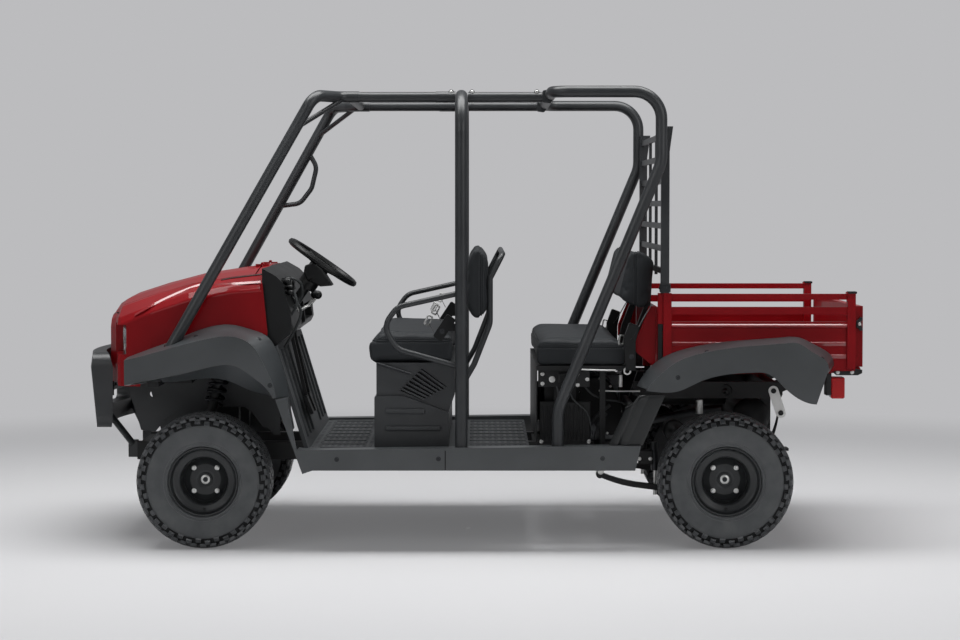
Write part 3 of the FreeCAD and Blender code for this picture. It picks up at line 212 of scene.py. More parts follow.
finishFacts = {
    # two colours, roughness, width and depth of the grain in mm, then what else differs
    # two-coat urethane enamel on the body panels: deep colour under a clear, wavy gloss
    "redEnamel": (("#770910", "#840c13"), 0.38, 24, 0.15,
                  {"specular": 0.08, "coat": 0.26, "coatRoughness": 0.05}),
    # the same enamel where it pools thicker on a folded edge, and shines
    "foldEnamel": (("#7e0a11", "#8c0e16"), 0.3, 24, 0.1,
                   {"specular": 0.5, "coat": 1.0, "coatRoughness": 0.08}),
    # satin powder coat on the cage tubes: a fine, even orange peel
    "satinPowderCoat": (("#26282a", "#303234"), 0.34, 3, 0.2, {"specular": 0.45}),
    # cheap black chassis enamel, rolled on thinly
    "chassisEnamel": (("#101112", "#191a1b"), 0.46, 8, 0.3, {"specular": 0.35}),
    # unpainted polypropylene with a leather grain from the mould
    "grainedPolypropylene": (("#323537", "#3b3e40"), 0.32, 3, 0.3, {"specular": 0.8}),
    # carbon-black polypropylene for the cab's trim, duller and darker
    "blackPolypropylene": (("#0a0b0c", "#111213"), 0.4, 3, 0.3, {"specular": 0.3}),
    # the same plastic where sun and mud have greyed it: bumper, inner wings, seat base
    "greyedPolypropylene": (("#26282a", "#303234"), 0.4, 3, 0.3, {"patch": 120, "specular": 0.5}),
    # the leg guards' polypropylene, painted darker than the skirt's as the shade under the overhanging
    # fender; boots rub it shiny
    "shadedGuardPolypropylene": (("#131516", "#1b1d1e"), 0.34, 3, 0.3, {"specular": 0.5}),
    # the floor's rubber mat, dusty where boots scrape it
    "rubberMat": (("#3c3e40", "#484a4c"), 0.55, 6, 0.5, {"patch": 90, "specular": 0.25}),
    # calendered vinyl on a knitted back: soft, nearly matte, finely pored
    "seatVinyl": (("#292b2d", "#323436"), 0.52, 4, 0.5, {"specular": 0.1}),
    # bonded polyester thread, dull beside the vinyl
    "seatThread": (("#333537", "#3f4143"), 0.7, 2, 0.1, {}),
    # tyre rubber: matte, with a bloom of wax and dust that lightens it in patches; its sharp edges are
    # lighter, partly rubbed pale and partly a painted highlight
    "tyreRubber": (("#484a4c", "#565859"), 0.58, 5, 0.4, {"patch": 60, "specular": 0.35, "worn": "#66686a"}),
    # the same rubber on the lugs, polished by use, and painted dark at the bottom of the tread as the shade
    # between the lugs
    "lugRubber": (("#3b3d3f", "#4c4e50"), 0.4, 5, 0.3, {"patch": 40, "specular": 0.5}),
    "shadedTreadFloorRubber": (("#161718", "#222324"), 0.7, 5, 0.3, {"patch": 40, "specular": 0.2}),
    # stoved enamel on the pressed steel wheels: thick, even, a little wavy
    "wheelEnamel": (("#26282a", "#303233"), 0.36, 10, 0.2, {"specular": 0.4}),
    # bright zinc plate on screws and links
    "zincPlate": (("#c4c4c2", "#dcdcda"), 0.4, 6, 0.1, {"metallic": 1.0}),
    # metal vapour on the lamps' bowls, close to a mirror
    "aluminisedBowl": (("#d8dadc", "#e4e6e8"), 0.14, 30, 0.1, {"metallic": 1.0}),
    # black ink printed on the dial's card
    "dialPrint": (("#0d0e0f", "#101112"), 0.3, 20, 0.05, {}),
    # blackened steel, dark with a low metal sheen
    "blackOxide": (("#26272a", "#323436"), 0.4, 4, 0.1, {"metallic": 0.6}),
    # sand-cast aluminium: grey, rough and pitted
    "castAluminium": (("#5f6163", "#747678"), 0.55, 4, 0.5, {"metallic": 1.0}),
    # EPDM hose, slightly chalky
    "hoseRubber": (("#2e3031", "#3b3d3e"), 0.55, 4, 0.2, {"specular": 0.35}),
}
finishes = {name: grained(name, *facts[:4], **facts[4]) for name, facts in finishFacts.items()}


def webbing():
    # woven polyester webbing: a 2-by-2 twill, drawn 4 mm coarse so that it shows
    twill = 4
    made, tree, shader = newMaterial("beltWebbing", {"Roughness": 0.72, "Sheen Weight": 0.15})
    point = objectPoint(tree)
    ribs = []
    for angle in (0.6, -0.6):
        leaning = addNode(tree, "ShaderNodeMapping", inputs={"Vector": point, "Rotation": (0.0, angle, 0.0)})
        wave = addNode(tree, "ShaderNodeTexWave", {"bands_direction": "X"},
                       {"Vector": (leaning, 0), "Scale": 1000 / (twill * math.tau), "Distortion": 0.4})
        ribs.append((wave, "Fac"))
    weave = mathNode(tree, "MULTIPLY", *ribs)
    bump = addNode(tree, "ShaderNodeBump", inputs={"Height": weave, "Distance": 0.0006, "Strength": 0.7})
    link(tree, shader, {"Base Color": ramp(tree, weave, (0.0, "#121314"), (1.0, "#27282a")),
                        "Normal": (bump, 0)})
    return made


finishes["beltWebbing"] = webbing()


def lensMaterial(name, colour, clearness):
    # smooth moulded plastic, one colour all through
    return newMaterial(name, {"Base Color": toLinear(colour), "Roughness": 0.08,
                              "Transmission Weight": clearness, "IOR": 1.58})[0]


# hard-coated polycarbonate over the headlamps, and dense red acrylic on the tail lamps
finishes["clearPolycarbonate"] = lensMaterial("clearPolycarbonate", "#e6eaec", 0.9)
finishes["redAcrylic"] = lensMaterial("redAcrylic", "#b40d10", 0.12)

nodeFinish = {
    "redEnamel": ("front_body", "hood", "tailgate", "bed_box"),
    "satinPowderCoat": ("pillar_left", "pillar_right", "roof_rails", "middle_hoop", "rear_hoop", "screen",
                        "grab_rail"),
    "grainedPolypropylene": ("front_fender_left", "front_fender_right", "rear_fender_left",
                             "rear_fender_right", "skirt_left", "skirt_right"),
    "blackPolypropylene": ("dash", "grille", "steering_column", "steering_wheel", "fuel_tank", "seat_belts",
                           "pedals"),
    "greyedPolypropylene": ("front_seat_base", "bumper", "front_liners"),
    "rubberMat": ("floor",),
    "zincPlate": ("shackles",),
    "redAcrylic": ("tail_lamps",),
    "castAluminium": ("engine",),
}
chosen = {name: finish for finish, names in nodeFinish.items() for name in names}
for name, part in nodes.items():
    finish = chosen.get(name, "chassisEnamel")
    if name.startswith("rim"):
        finish = "wheelEnamel"
    part.data.materials.clear()
    part.data.materials.append(finishes[finish])
print("finishes made:", len(finishes))


# node trees shared by the repeated details

def newTree(name, inputs):
    # inputs are whole numbers or metres; every tree also takes a mesh and a finish
    tree = bpy.data.node_groups.new(name, "GeometryNodeTree")
    sockets = tree.interface
    sockets.new_socket("Geometry", in_out="INPUT", socket_type="NodeSocketGeometry")
    for label, value in inputs.items():
        kind = "NodeSocketInt" if isinstance(value, int) else "NodeSocketFloat"
        sockets.new_socket(label, in_out="INPUT", socket_type=kind).default_value = value
    sockets.new_socket("Material", in_out="INPUT", socket_type="NodeSocketMaterial")
    sockets.new_socket("Geometry", in_out="OUTPUT", socket_type="NodeSocketGeometry")
    return tree, addNode(tree, "NodeGroupInput"), addNode(tree, "NodeGroupOutput")


def grow(piece, tree, values):
    # adds the tree as a modifier, sets its inputs by identifier and keeps the plain result
    made = piece.modifiers.new(tree.name, "NODES")
    made.node_group = tree
    for item in tree.interface.items_tree:
        if item.in_out == "INPUT" and item.name in values:
            made[item.identifier] = values[item.name]
    return applyModifiers(piece)


def coat(tree, output, geometry, group, smooth):
    # shading and finish, then the tree's end
    shaded = addNode(tree, "GeometryNodeSetShadeSmooth",
                     inputs={"Geometry": geometry, "Shade Smooth": smooth})
    coated = addNode(tree, "GeometryNodeSetMaterial",
                     inputs={"Geometry": (shaded, 0), "Material": (group, "Material")})
    tree.links.new(coated.outputs[0], output.inputs[0])
    return tree


def plant(tree, output, group, points, instance, turn):
    # the same small shape on every point
    planted = addNode(tree, "GeometryNodeInstanceOnPoints",
                      inputs={"Points": (points, 0), "Instance": (instance, 0), "Rotation": (turn, 0)})
    real = addNode(tree, "GeometryNodeRealizeInstances", inputs={"Geometry": (planted, 0)})
    return coat(tree, output, (real, 0), group, False)


def pointVector(tree, label):
    made = addNode(tree, "GeometryNodeInputNamedAttribute", {"data_type": "FLOAT_VECTOR"}, {"Name": label})
    return (made, 0)


def upright(tree, vector):
    # the turn that points a shape's own z along a vector
    return addNode(tree, "FunctionNodeAlignRotationToVector", {"axis": "Z"}, {"Vector": vector})


def makeFastenerTree():
    # a flanged hexagon head on every point, turned to the point's aim
    tree, group, output = newTree("fastenerHeads", {"Head Radius": 0.006, "Head Height": 0.005,
                                                    "Flange Radius": 0.009, "Sides": 6})
    head = addNode(tree, "GeometryNodeMeshCylinder",
                   inputs={"Vertices": (group, "Sides"), "Depth": (group, "Head Height"),
                           "Radius": (group, "Head Radius")})
    flange = addNode(tree, "GeometryNodeMeshCone",
                     inputs={"Vertices": 16, "Radius Top": (group, "Head Radius"),
                             "Radius Bottom": (group, "Flange Radius"), "Depth": 0.0014})
    half = mathNode(tree, "MULTIPLY", (group, "Head Height"), 0.5)
    up = addNode(tree, "ShaderNodeCombineXYZ", inputs={"Z": half})
    raised = addNode(tree, "GeometryNodeTransform", inputs={"Geometry": (head, 0), "Translation": (up, 0)})
    whole = addNode(tree, "GeometryNodeJoinGeometry")
    tree.links.new(raised.outputs[0], whole.inputs[0])
    tree.links.new(flange.outputs[0], whole.inputs[0])
    turn = upright(tree, pointVector(tree, "aim"))
    cloud = addNode(tree, "GeometryNodeMeshToPoints", inputs={"Mesh": (group, "Geometry")})
    return plant(tree, output, group, cloud, whole, turn)


def makeBeadTree():
    # a round bead of a given radius along every edge chain, such as piping, a weld or a seal
    tree, group, output = newTree("roundBead", {"Radius": 0.003, "Step": 0.008, "Sides": 8})
    path = addNode(tree, "GeometryNodeMeshToCurve", inputs={"Mesh": (group, "Geometry")})
    even = addNode(tree, "GeometryNodeResampleCurve", {"mode": "LENGTH"},
                   {"Curve": (path, 0), "Length": (group, "Step")})
    circle = addNode(tree, "GeometryNodeCurvePrimitiveCircle",
                     inputs={"Resolution": (group, "Sides"), "Radius": (group, "Radius")})
    tube = addNode(tree, "GeometryNodeCurveToMesh",
                   inputs={"Curve": (even, 0), "Profile Curve": (circle, 0), "Fill Caps": True})
    return coat(tree, output, (tube, 0), group, True)


def makeStitchTree():
    # short thread runs laid end to end along an edge chain
    tree, group, output = newTree("stitchRow", {"Spacing": 0.009, "Length": 0.006, "Radius": 0.0008})
    path = addNode(tree, "GeometryNodeMeshToCurve", inputs={"Mesh": (group, "Geometry")})
    dots = addNode(tree, "GeometryNodeCurveToPoints", {"mode": "LENGTH"},
                   {"Curve": (path, 0), "Length": (group, "Spacing")})
    thread = addNode(tree, "GeometryNodeMeshCylinder",
                     inputs={"Vertices": 5, "Depth": (group, "Length"), "Radius": (group, "Radius")})
    return plant(tree, output, group, dots, thread, upright(tree, (dots, "Tangent")))


def makeBlockTree():
    # a block with drafted sides on every point, its top along the point's aim and its length along the other
    tree, group, output = newTree("draftedBlocks", {"Length": 0.03, "Width": 0.02, "Height": 0.01,
                                                    "Draft": 0.6})
    # a cone of four sides whose foot is a unit square
    frustum = addNode(tree, "GeometryNodeMeshCone", inputs={"Vertices": 4, "Radius Top": (group, "Draft"),
                                                            "Radius Bottom": 0.7071, "Depth": 1.0})
    squared = addNode(tree, "GeometryNodeTransform",
                      inputs={"Geometry": (frustum, 0), "Rotation": (0.0, 0.0, math.pi / 4)})
    sizes = addNode(tree, "ShaderNodeCombineXYZ",
                    inputs={"X": (group, "Length"), "Y": (group, "Width"), "Z": (group, "Height")})
    sized = addNode(tree, "GeometryNodeTransform", inputs={"Geometry": (squared, 0), "Scale": (sizes, 0)})
    turn = upright(tree, pointVector(tree, "aim"))
    twist = addNode(tree, "FunctionNodeAlignRotationToVector", {"axis": "X", "pivot_axis": "Z"},
                    {"Rotation": (turn, 0), "Vector": pointVector(tree, "along")})
    cloud = addNode(tree, "GeometryNodeMeshToPoints", inputs={"Mesh": (group, "Geometry")})
    return plant(tree, output, group, cloud, sized, twist)


fastenerTree = makeFastenerTree()
blockTree = makeBlockTree()
beadTree = makeBeadTree()
stitchTree = makeStitchTree()


def addFasteners(name, spots, body, material, headRadius=6.0, headHeight=5.0, flangeRadius=9.0, sides=6):
    piece = addMesh(name, [spot[:3] for spot in spots], [], body)
    aims = piece.data.attributes.new("aim", "FLOAT_VECTOR", "POINT")
    for i, spot in enumerate(spots):
        aims.data[i].vector = spot[3:]
    grow(piece, fastenerTree, {"Head Radius": headRadius / 1000, "Head Height": headHeight / 1000,
                               "Flange Radius": flangeRadius / 1000, "Sides": sides,
                               "Material": finishes[material]})
    return finishPiece(piece, finishes[material])


def addBlocks(name, spots, body, material, length, width, height, draft=0.6):
    # spots are (x, y, z) then the aim and the lengthwise direction of each block
    piece = addMesh(name, [spot[:3] for spot in spots], [], body)
    for label, start in (("aim", 3), ("along", 6)):
        vectors = piece.data.attributes.new(label, "FLOAT_VECTOR", "POINT")
        for i, spot in enumerate(spots):
            vectors.data[i].vector = spot[start:start + 3]
    grow(piece, blockTree, {"Length": length / 1000, "Width": width / 1000, "Height": height / 1000,
                            "Draft": draft, "Material": finishes[material]})
    return finishPiece(piece, finishes[material])


def addBead(name, points, body, material, radius, step=8.0, sides=8, closed=False):
    # a round bead, hose or cable along these points
    piece = addMesh(name, points, [], body)
    runs = [(i, i + 1) for i in range(len(points) - 1)]
    if closed:
        runs.append((len(points) - 1, 0))
    addEdges(piece, runs)
    grow(piece, beadTree, {"Radius": radius / 1000, "Step": step / 1000, "Sides": sides,
                           "Material": finishes[material]})
    return finishPiece(piece, finishes[material])


def smoothPath(points, perRun=6):
    # a path through the points, rounded as a bent hose is
    path = []
    for i in range(len(points) - 1):
        before = Vector(points[max(i - 1, 0)])
        a, b = Vector(points[i]), Vector(points[i + 1])
        after = Vector(points[min(i + 2, len(points) - 1)])
        for k in range(perRun):
            t = k / perRun
            path.append(0.5 * (2 * a + (b - before) * t + (2 * before - 5 * a + 4 * b - after) * t * t
                               + (3 * a - before - 3 * b + after) * t ** 3))
    path.append(Vector(points[-1]))
    return [tuple(p) for p in path]


# seat cushions

cushions = {
    # each cover: how far it starts inside the solid, how far it may swell, and the level of its welt
    "front_seat_cushion": {"inset": 5, "swell": 13, "weltZ": 862},
    "front_seat_back": {"inset": 5, "swell": 10, "weltX": 1150},
    "rear_seat_cushion": {"inset": 5, "swell": 12, "weltZ": 838},
    "rear_seat_back": {"inset": 5, "swell": 10, "weltX": 1790},
}
clothSettings = {"voxel": 9, "pressure": 4.0, "frames": 20, "tension": 15.0, "bending": 2.0}
# seams, in metres like the trees' own inputs: the welt's cord, then the two rows of stitches beside it
seamSettings = {
    "pinchWide": 10, "pinchDeep": 3.5, "rowAway": 0.009,
    "welt": {"Radius": 0.0034, "Step": 0.010, "Sides": 8},
    "stitch": {"Spacing": 0.010, "Length": 0.006, "Radius": 0.0009}}


def softForm(name, node, inset):
    # the starting form: the solid's own outline, drawn in by the swell
    piece = linked(name, nodes[node].data.copy())
    shape = bmesh.new()
    shape.from_mesh(piece.data)
    bmesh.ops.remove_doubles(shape, verts=shape.verts, dist=0.0002)
    bmesh.ops.recalc_face_normals(shape, faces=shape.faces)
    for vert, normal in [(v, v.normal.copy()) for v in shape.verts]:
        vert.co -= normal * inset / 1000
    shape.to_mesh(piece.data)
    shape.free()
    remesh = piece.modifiers.new("remesh", "REMESH")
    remesh.mode = "VOXEL"
    remesh.voxel_size = clothSettings["voxel"] / 1000
    applyModifiers(piece)
    piece["rides"] = "chassis"
    return piece


def swell(piece, most):
    # a short cloth run blows the cover up against its own tension
    start = [v.co.copy() for v in piece.data.vertices]
    cloth = piece.modifiers.new("cover", "CLOTH")
    cloth.settings.use_pressure = True
    cloth.settings.uniform_pressure_force = clothSettings["pressure"]
    cloth.settings.tension_stiffness = clothSettings["tension"]
    cloth.settings.bending_stiffness = clothSettings["bending"]
    cloth.settings.effector_weights.gravity = 0
    cloth.point_cache.frame_start = 1
    cloth.point_cache.frame_end = clothSettings["frames"]
    for step in range(1, clothSettings["frames"] + 1):
        scene.frame_set(step)
    applyModifiers(piece)
    scene.frame_set(1)
    for vert, first in zip(piece.data.vertices, start):
        move = vert.co - first
        if move.length > most / 1000:
            vert.co = first + move * (most / 1000 / move.length)


def pinch(piece, axis, level, width, depth):
    # the seam pulls the cover in along a level
    for vert, normal in [(v, v.normal.copy()) for v in piece.data.vertices]:
        away = abs(vert.co[axis] - level) * 1000
        if away < width and abs(normal[axis]) < 0.75:
            vert.co -= normal * depth / 1000 * (1 - (away / width) ** 2)


def cutLoop(name, piece, axis, level):
    # the line where a level plane meets the cushion
    shape = bmesh.new()
    shape.from_mesh(piece.data)
    centre, facing = Vector((0, 0, 0)), Vector((0, 0, 0))
    centre[axis], facing[axis] = level, 1
    everything = shape.verts[:] + shape.edges[:] + shape.faces[:]
    bmesh.ops.bisect_plane(shape, geom=everything, plane_co=centre, plane_no=facing, clear_inner=True,
                           clear_outer=True)
    loop = bpy.data.meshes.new(name)
    shape.to_mesh(loop)
    shape.free()
    made = linked(name, loop)
    made["rides"] = piece["rides"]
    return made


def makeCushion(node, facts):
    piece = softForm(node.replace("_", " ").title().replace(" ", "") + "Cover", node, facts["inset"])
    swell(piece, facts["swell"])
    refine = piece.modifiers.new("refine", "SUBSURF")
    refine.levels = refine.render_levels = 1
    applyModifiers(piece)
    if "weltZ" in facts:
        axis, level = 2, facts["weltZ"] / 1000
    else:
        axis, level = 0, (facts["weltX"] - middleX) / 1000
    pinch(piece, axis, level, seamSettings["pinchWide"], seamSettings["pinchDeep"])
    smoothFaces(piece)
    welt = cutLoop(piece.name + "Welt", piece, axis, level)
    grow(welt, beadTree, {**seamSettings["welt"], "Material": finishes["seatVinyl"]})
    finishPiece(welt, finishes["seatVinyl"])
    for i, way in enumerate((-1, 1)):
        row = level + way * seamSettings["rowAway"]
        stitch = cutLoop(piece.name + "Stitch" + str(i), piece, axis, row)
        grow(stitch, stitchTree, {**seamSettings["stitch"], "Material": finishes["seatThread"]})
        finishPiece(stitch, finishes["seatThread"])
    finishPiece(piece, finishes["seatVinyl"])
    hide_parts(node)


for seatNode, seatFacts in cushions.items():
    makeCushion(seatNode, seatFacts)
print("cushions made")


# finding places on the model

def nodeTree(node):
    shape = bmesh.new()
    shape.from_mesh(nodes[node].data)
    tree = BVHTree.FromBMesh(shape)
    shape.free()
    return tree


def spotsOn(node, places, start, aim):
    # where lines along aim, from each (a, b) place, first meet a node: (x, y, z, facing)
    tree = nodeTree(node)
    found = []
    for spot in places:
        origin = place(*start(*spot))
        hit, facing, _, _ = tree.ray_cast(origin, Vector(aim))
        if hit is None:
            raise ValueError(node + " has no surface at " + str(spot))
        if facing.dot(Vector(aim)) > 0:
            facing = -facing
        found.append((hit.x * 1000 + middleX, hit.y * 1000, hit.z * 1000, facing.x, facing.y, facing.z))
    return found


def sideSpots(node, places, side):
    # places are (x, z) on the outer side of a node; side is -1 for the left and 1 for the right
    return spotsOn(node, places, lambda x, z: (x, side * 1200, z), (0, -side, 0))


def topSpots(node, places, above=2500):
    # places are (x, y), met from above
    return spotsOn(node, places, lambda x, y: (x, y, above), (0, 0, -1))


# wheels

wheelFacts = {
    "frontX": 0, "rearX": 2165, "centreY": 566, "centreZ": 280, "boltCircle": 68.5, "discDepth": 6,
    # head radius, height and flange radius of the four nuts, then of the one on the hub
    "nut": (8, 9, 11), "hubNut": (9, 7, 11), "hubNutOut": 10.2,
    # what is turned on the hub: (y beyond the wheel's middle, radius)
    "hubBoss": ((-1, 30), (6, 29), (8, 26), (7, 20), (7, 0)),
    "hubWasher": ((6.5, 19.5), (9.5, 19.5), (10.5, 18.5), (10.5, 0)),
    # the valve's stem: (y beyond the middle, z from the axle)
    "valve": ((62, -115), (70, -115), (79, -114)),
    # moulded rings on the sidewall: radius, distance from the middle and thickness
    "sidewallRibs": ((151, 104.5, 1.6), (163, 112, 1.4), (236, 116.6, 1.4)),
    # the pressed step between the rim's flange and its dish: (y, radius), outside then back
    "step": ((641, 136), (645, 132), (640, 127), (635, 118), (635, 105), (631, 99.5), (612, 97), (574, 95),
             (574, 98), (612, 100), (628, 103), (631, 118), (635, 130), (641, 136))}
tyreFacts = {
    "sides": 128,
    # half of the section: distance from the tyre's middle and radius, outside then inside
    "outer": ((86, 143.6), (99, 147), (109, 156), (115.5, 172), (119, 198), (119.5, 222), (116, 240),
              (109, 252), (98, 261), (80, 266), (45, 268.4), (0, 269)),
    "inner": ((0, 258), (60, 256), (92, 246), (106, 226), (106, 190), (98, 166), (82, 156)),
    # rows of blocks: distance from the middle, radius, lean outwards in degrees, count, share of a pitch
    # to start at, then length round the tyre, width and height
    "rows": ((112.5, 250, 52, 40, 0.0, 24, 20, 8.5), (99, 262.5, 28, 40, 0.5, 28, 23, 11),
             (74, 267.5, 6, 40, 0.0, 28, 25, 11.4), (42, 268.5, 0, 40, 0.5, 29, 28, 11.4),
             (13, 269, 0, 40, 0.1, 29, 23, 11)),
    # how far a lug's foot sits below its row, and how much further every other outermost one reaches down
    "sunk": 1.0, "reach": 9,
    # a thin skin between the lugs, which carries the painted shade of the tread's bottom
    "floor": ((120.1, 236), (117, 241), (109.8, 252.8), (98.4, 261.9), (80.2, 266.8), (45, 269.2),
              (0, 269.8)),
    "floorThick": 2}


def wheelParts():
    for end, x in (("front", wheelFacts["frontX"]), ("rear", wheelFacts["rearX"])):
        for name, side in bothSides:
            yield end + "_" + name, "wheel_" + end + "_" + name, x, side


def ringOf(x, y, z, radius, count, first=0.0):
    # points round a ring that lies square to the axle
    return [(x + radius * math.cos(first + math.tau * i / count), y,
             z + radius * math.sin(first + math.tau * i / count)) for i in range(count)]


def lathed(name, points, faces, body, material, merge):
    # closes a turned piece: points that meet on its axis become one
    piece = addMesh(name, points, faces, body)
    faceOutwards(piece, merge)
    smoothFaces(piece)
    return finishPiece(piece, finishes[material])


def turned(name, profile, x, z, body, material, sides=48):
    # a round piece on an axle line: profile is (y, radius)
    points = [p for y, radius in profile for p in ringOf(x, y, z, max(radius, 0.01), sides)]
    return lathed(name, points, bandFaces(len(profile), sides), body, material, 0.00008)


def turnedX(name, profile, y, z, body, material, sides=40):
    # a round piece on a line from front to rear, capped at its first ring: profile is (x, radius)
    points = [(x, y + radius * math.cos(math.tau * k / sides), z + radius * math.sin(math.tau * k / sides))
              for x, radius in profile for k in range(sides)]
    faces = bandFaces(len(profile), sides) + [tuple(reversed(range(sides)))]
    return lathed(name, points, faces, body, material, 0.00004)


def mirrored(section, y):
    # half of a tyre's section, from its outer end over the middle to the other end
    return [(y + off, r) for off, r in section] + [(y - off, r) for off, r in reversed(section[:-1])]


def makeTyre(name, body, x, side):
    facts, y, z = tyreFacts, side * wheelFacts["centreY"], wheelFacts["centreZ"]
    inner = [(y - off, r) for off, r in reversed(facts["inner"])]
    inner += [(y + off, r) for off, r in facts["inner"][1:]]
    ring = mirrored(facts["outer"], y) + inner
    carcass = turned("tyreCarcass_" + name, ring + ring[:1], x, z, body, "tyreRubber", facts["sides"])
    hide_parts("tyre_" + name)
    for i, (off, radius, lean, count, start, length, width, height) in enumerate(facts["rows"]):
        spots = []
        for way in (-1, 1):
            c, s = math.cos(math.radians(lean)), math.sin(math.radians(lean))
            for k in range(count):
                turn = math.tau * (k + start + (0.5 if way < 0 else 0.0)) / count
                out = Vector((math.cos(turn), 0, math.sin(turn)))
                aim = out * c + Vector((0, way * s, 0))
                foot = radius - facts["sunk"] - (facts["reach"] if i == 0 and k % 2 else 0)
                spots.append((x + out.x * foot, y + way * off, z + out.z * foot, *aim,
                              -math.sin(turn), 0.0, math.cos(turn)))
        addBlocks("treadRow" + str(i) + "_" + name, spots, body, "lugRubber", length, width, height)
    # the skin is painted dark as the shade at the bottom of the tread
    skin = mirrored(facts["floor"], y)
    under = [(py, r - facts["floorThick"]) for py, r in reversed(skin)]
    turned("treadFloor_" + name, skin + under + skin[:1], x, z, body, "shadedTreadFloorRubber", facts["sides"])


def makeWheelDetails():
    facts = wheelFacts
    for name, body, x, side in wheelParts():
        makeTyre(name, body, x, side)
        y, z = facts["centreY"], facts["centreZ"]
        discY = side * (y + facts["discDepth"])
        nuts = [(*spot, 0, side, 0) for spot in ringOf(x, discY, z, facts["boltCircle"], 4, math.pi / 4)]
        addFasteners("wheelNuts_" + name, nuts, body, "zincPlate", *facts["nut"])
        for piece, material in (("hubBoss", "wheelEnamel"), ("hubWasher", "zincPlate")):
            profile = [(side * (y + off), radius) for off, radius in facts[piece]]
            turned(piece + "_" + name, profile, x, z, body, material, sides=32)
        hub = [(x, side * (y + facts["hubNutOut"]), z, 0, side, 0)]
        addFasteners("hubNut_" + name, hub, body, "blackOxide", *facts["hubNut"])
        step = [(side * py, radius) for py, radius in facts["step"]]
        turned("rimStep_" + name, step, x, z, body, "wheelEnamel", sides=64)
        stem = [(x + 1, side * (y + off), z + high) for off, high in facts["valve"]]
        addBead("valve_" + name, stem, body, "blackPolypropylene", radius=5, step=6)
        for i, (radius, out, thick) in enumerate(facts["sidewallRibs"]):
            rib = ringOf(x, side * (y + out), z, radius, 96)
            addBead("sidewallRib" + str(i) + "_" + name, rib, body, "tyreRubber", thick, step=9, sides=6,
                    closed=True)


makeWheelDetails()
print("wheel details made")


# fasteners on the panels

screwFacts = {
    # head radius, height and flange radius
    "head": (6.5, 3.5, 10),
    # panel: its body, then where its screws show, as (x, z) on its outer side
    "panels": {
        "front_fender": ("chassis", ((-18, 888), (242, 876), (290, 690))),
        "rear_fender": ("bed", ((2068, 828), (2540, 800), (1950, 722))),
        "skirt": ("chassis", ((975, 388), (1645, 390), (560, 386)))}}


def makePanelScrews():
    for panel, (body, places) in screwFacts["panels"].items():
        for name, side in bothSides:
            node = panel + "_" + name
            spots = sideSpots(node, places, side)
            addFasteners("screws_" + node, spots, body, "blackOxide", *screwFacts["head"])


makePanelScrews()
print("panel screws made")


# headlamps: clear covers over bright bowls

lampFacts = {
    "yIn": 350, "yOut": 574, "zLow": 802, "zHigh": 925, "bowlBack": -324, "behind": 5.0, "cover": 3.0,
    "bulbRadius": 7, "bulbLength": 20, "rings": 10, "around": 56, "throat": 16, "rimGap": 3, "bowl": 1,
    # the lamp's front as seen from above: distance from the middle, and x
    "front": ((318, -384), (378, -365), (498, -350), (563, -338), (576, -324))}


def superPoint(angle, halfWide, halfHigh, power):
    # a point of an oval: power 2 is an ellipse, more is squarer
    c, s = math.cos(angle), math.sin(angle)
    return (halfWide * math.copysign(abs(c) ** (2 / power), c),
            halfHigh * math.copysign(abs(s) ** (2 / power), s))


def makeLampCover():
    cover = linked("lampCovers", nodes["headlamps"].data.copy())
    shape = bmesh.new()
    shape.from_mesh(cover.data)
    bmesh.ops.remove_doubles(shape, verts=shape.verts, dist=0.0002)
    bmesh.ops.recalc_face_normals(shape, faces=shape.faces)
    # only what looks forward or outward stays
    behind = [f for f in shape.faces if f.normal.x > -0.25
              and f.normal.y * math.copysign(1, f.calc_center_median().y) < 0.3]
    bmesh.ops.delete(shape, geom=behind, context="FACES")
    shape.to_mesh(cover.data)
    shape.free()
    addWall(cover, lampFacts["cover"], -1)
    applyModifiers(cover)
    smoothFaces(cover)
    cover["rides"] = "chassis"
    finishPiece(cover, finishes["clearPolycarbonate"])
    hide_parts("headlamps")


def lampFront(y):
    # x of the cover at this distance from the middle
    stops = lampFacts["front"]
    y = min(max(abs(y), stops[0][0]), stops[-1][0])
    for (y0, x0), (y1, x1) in zip(stops, stops[1:]):
        if y <= y1:
            return x0 + (x1 - x0) * (y - y0) / (y1 - y0)


def makeLampBowl(name, side):
    facts = lampFacts
    halfWide = (facts["yOut"] - facts["yIn"]) / 2 - facts["rimGap"]
    halfHigh = (facts["zHigh"] - facts["zLow"]) / 2 - facts["rimGap"]
    y = side * (facts["yOut"] + facts["yIn"]) / 2
    z = (facts["zLow"] + facts["zHigh"]) / 2
    throat, count = facts["throat"], facts["around"]
    points = []
    for i in range(facts["rings"] + 1):
        # t runs from the squarish rim to the round throat
        t = i / facts["rings"]
        close, deep = t ** 1.6, math.sin(t * math.pi / 2)
        wide, high = halfWide + (throat - halfWide) * close, halfHigh + (throat - halfHigh) * close
        for k in range(count):
            py, pz = superPoint(math.tau * k / count, wide, high, 5 - 3 * t)
            front = min(lampFront(y + py) + facts["behind"], facts["bowlBack"])
            points.append((front + (facts["bowlBack"] - front) * deep, y + py, z + pz))
    faces = bandFaces(facts["rings"] + 1, count)
    faces.append(tuple(range(facts["rings"] * count, (facts["rings"] + 1) * count)))
    bowl = addMesh("lampBowl_" + name, points, faces, "chassis")
    addWall(bowl, facts["bowl"], 0)
    applyModifiers(bowl)
    finishPiece(bowl, finishes["aluminisedBowl"])
    bulb = [(facts["bowlBack"] - 1 - facts["bulbLength"] * t, facts["bulbRadius"] * math.sqrt(1 - t ** 4))
            for t in (0, 0.3, 0.55, 0.75, 0.88, 0.96, 1)]
    turnedX("lampBulb_" + name, bulb, y, z, "chassis", "zincPlate", sides=16)


makeLampCover()
for lampName, lampSide in bothSides:
    makeLampBowl(lampName, lampSide)
print("headlamps made")


# expanded metal behind the guard

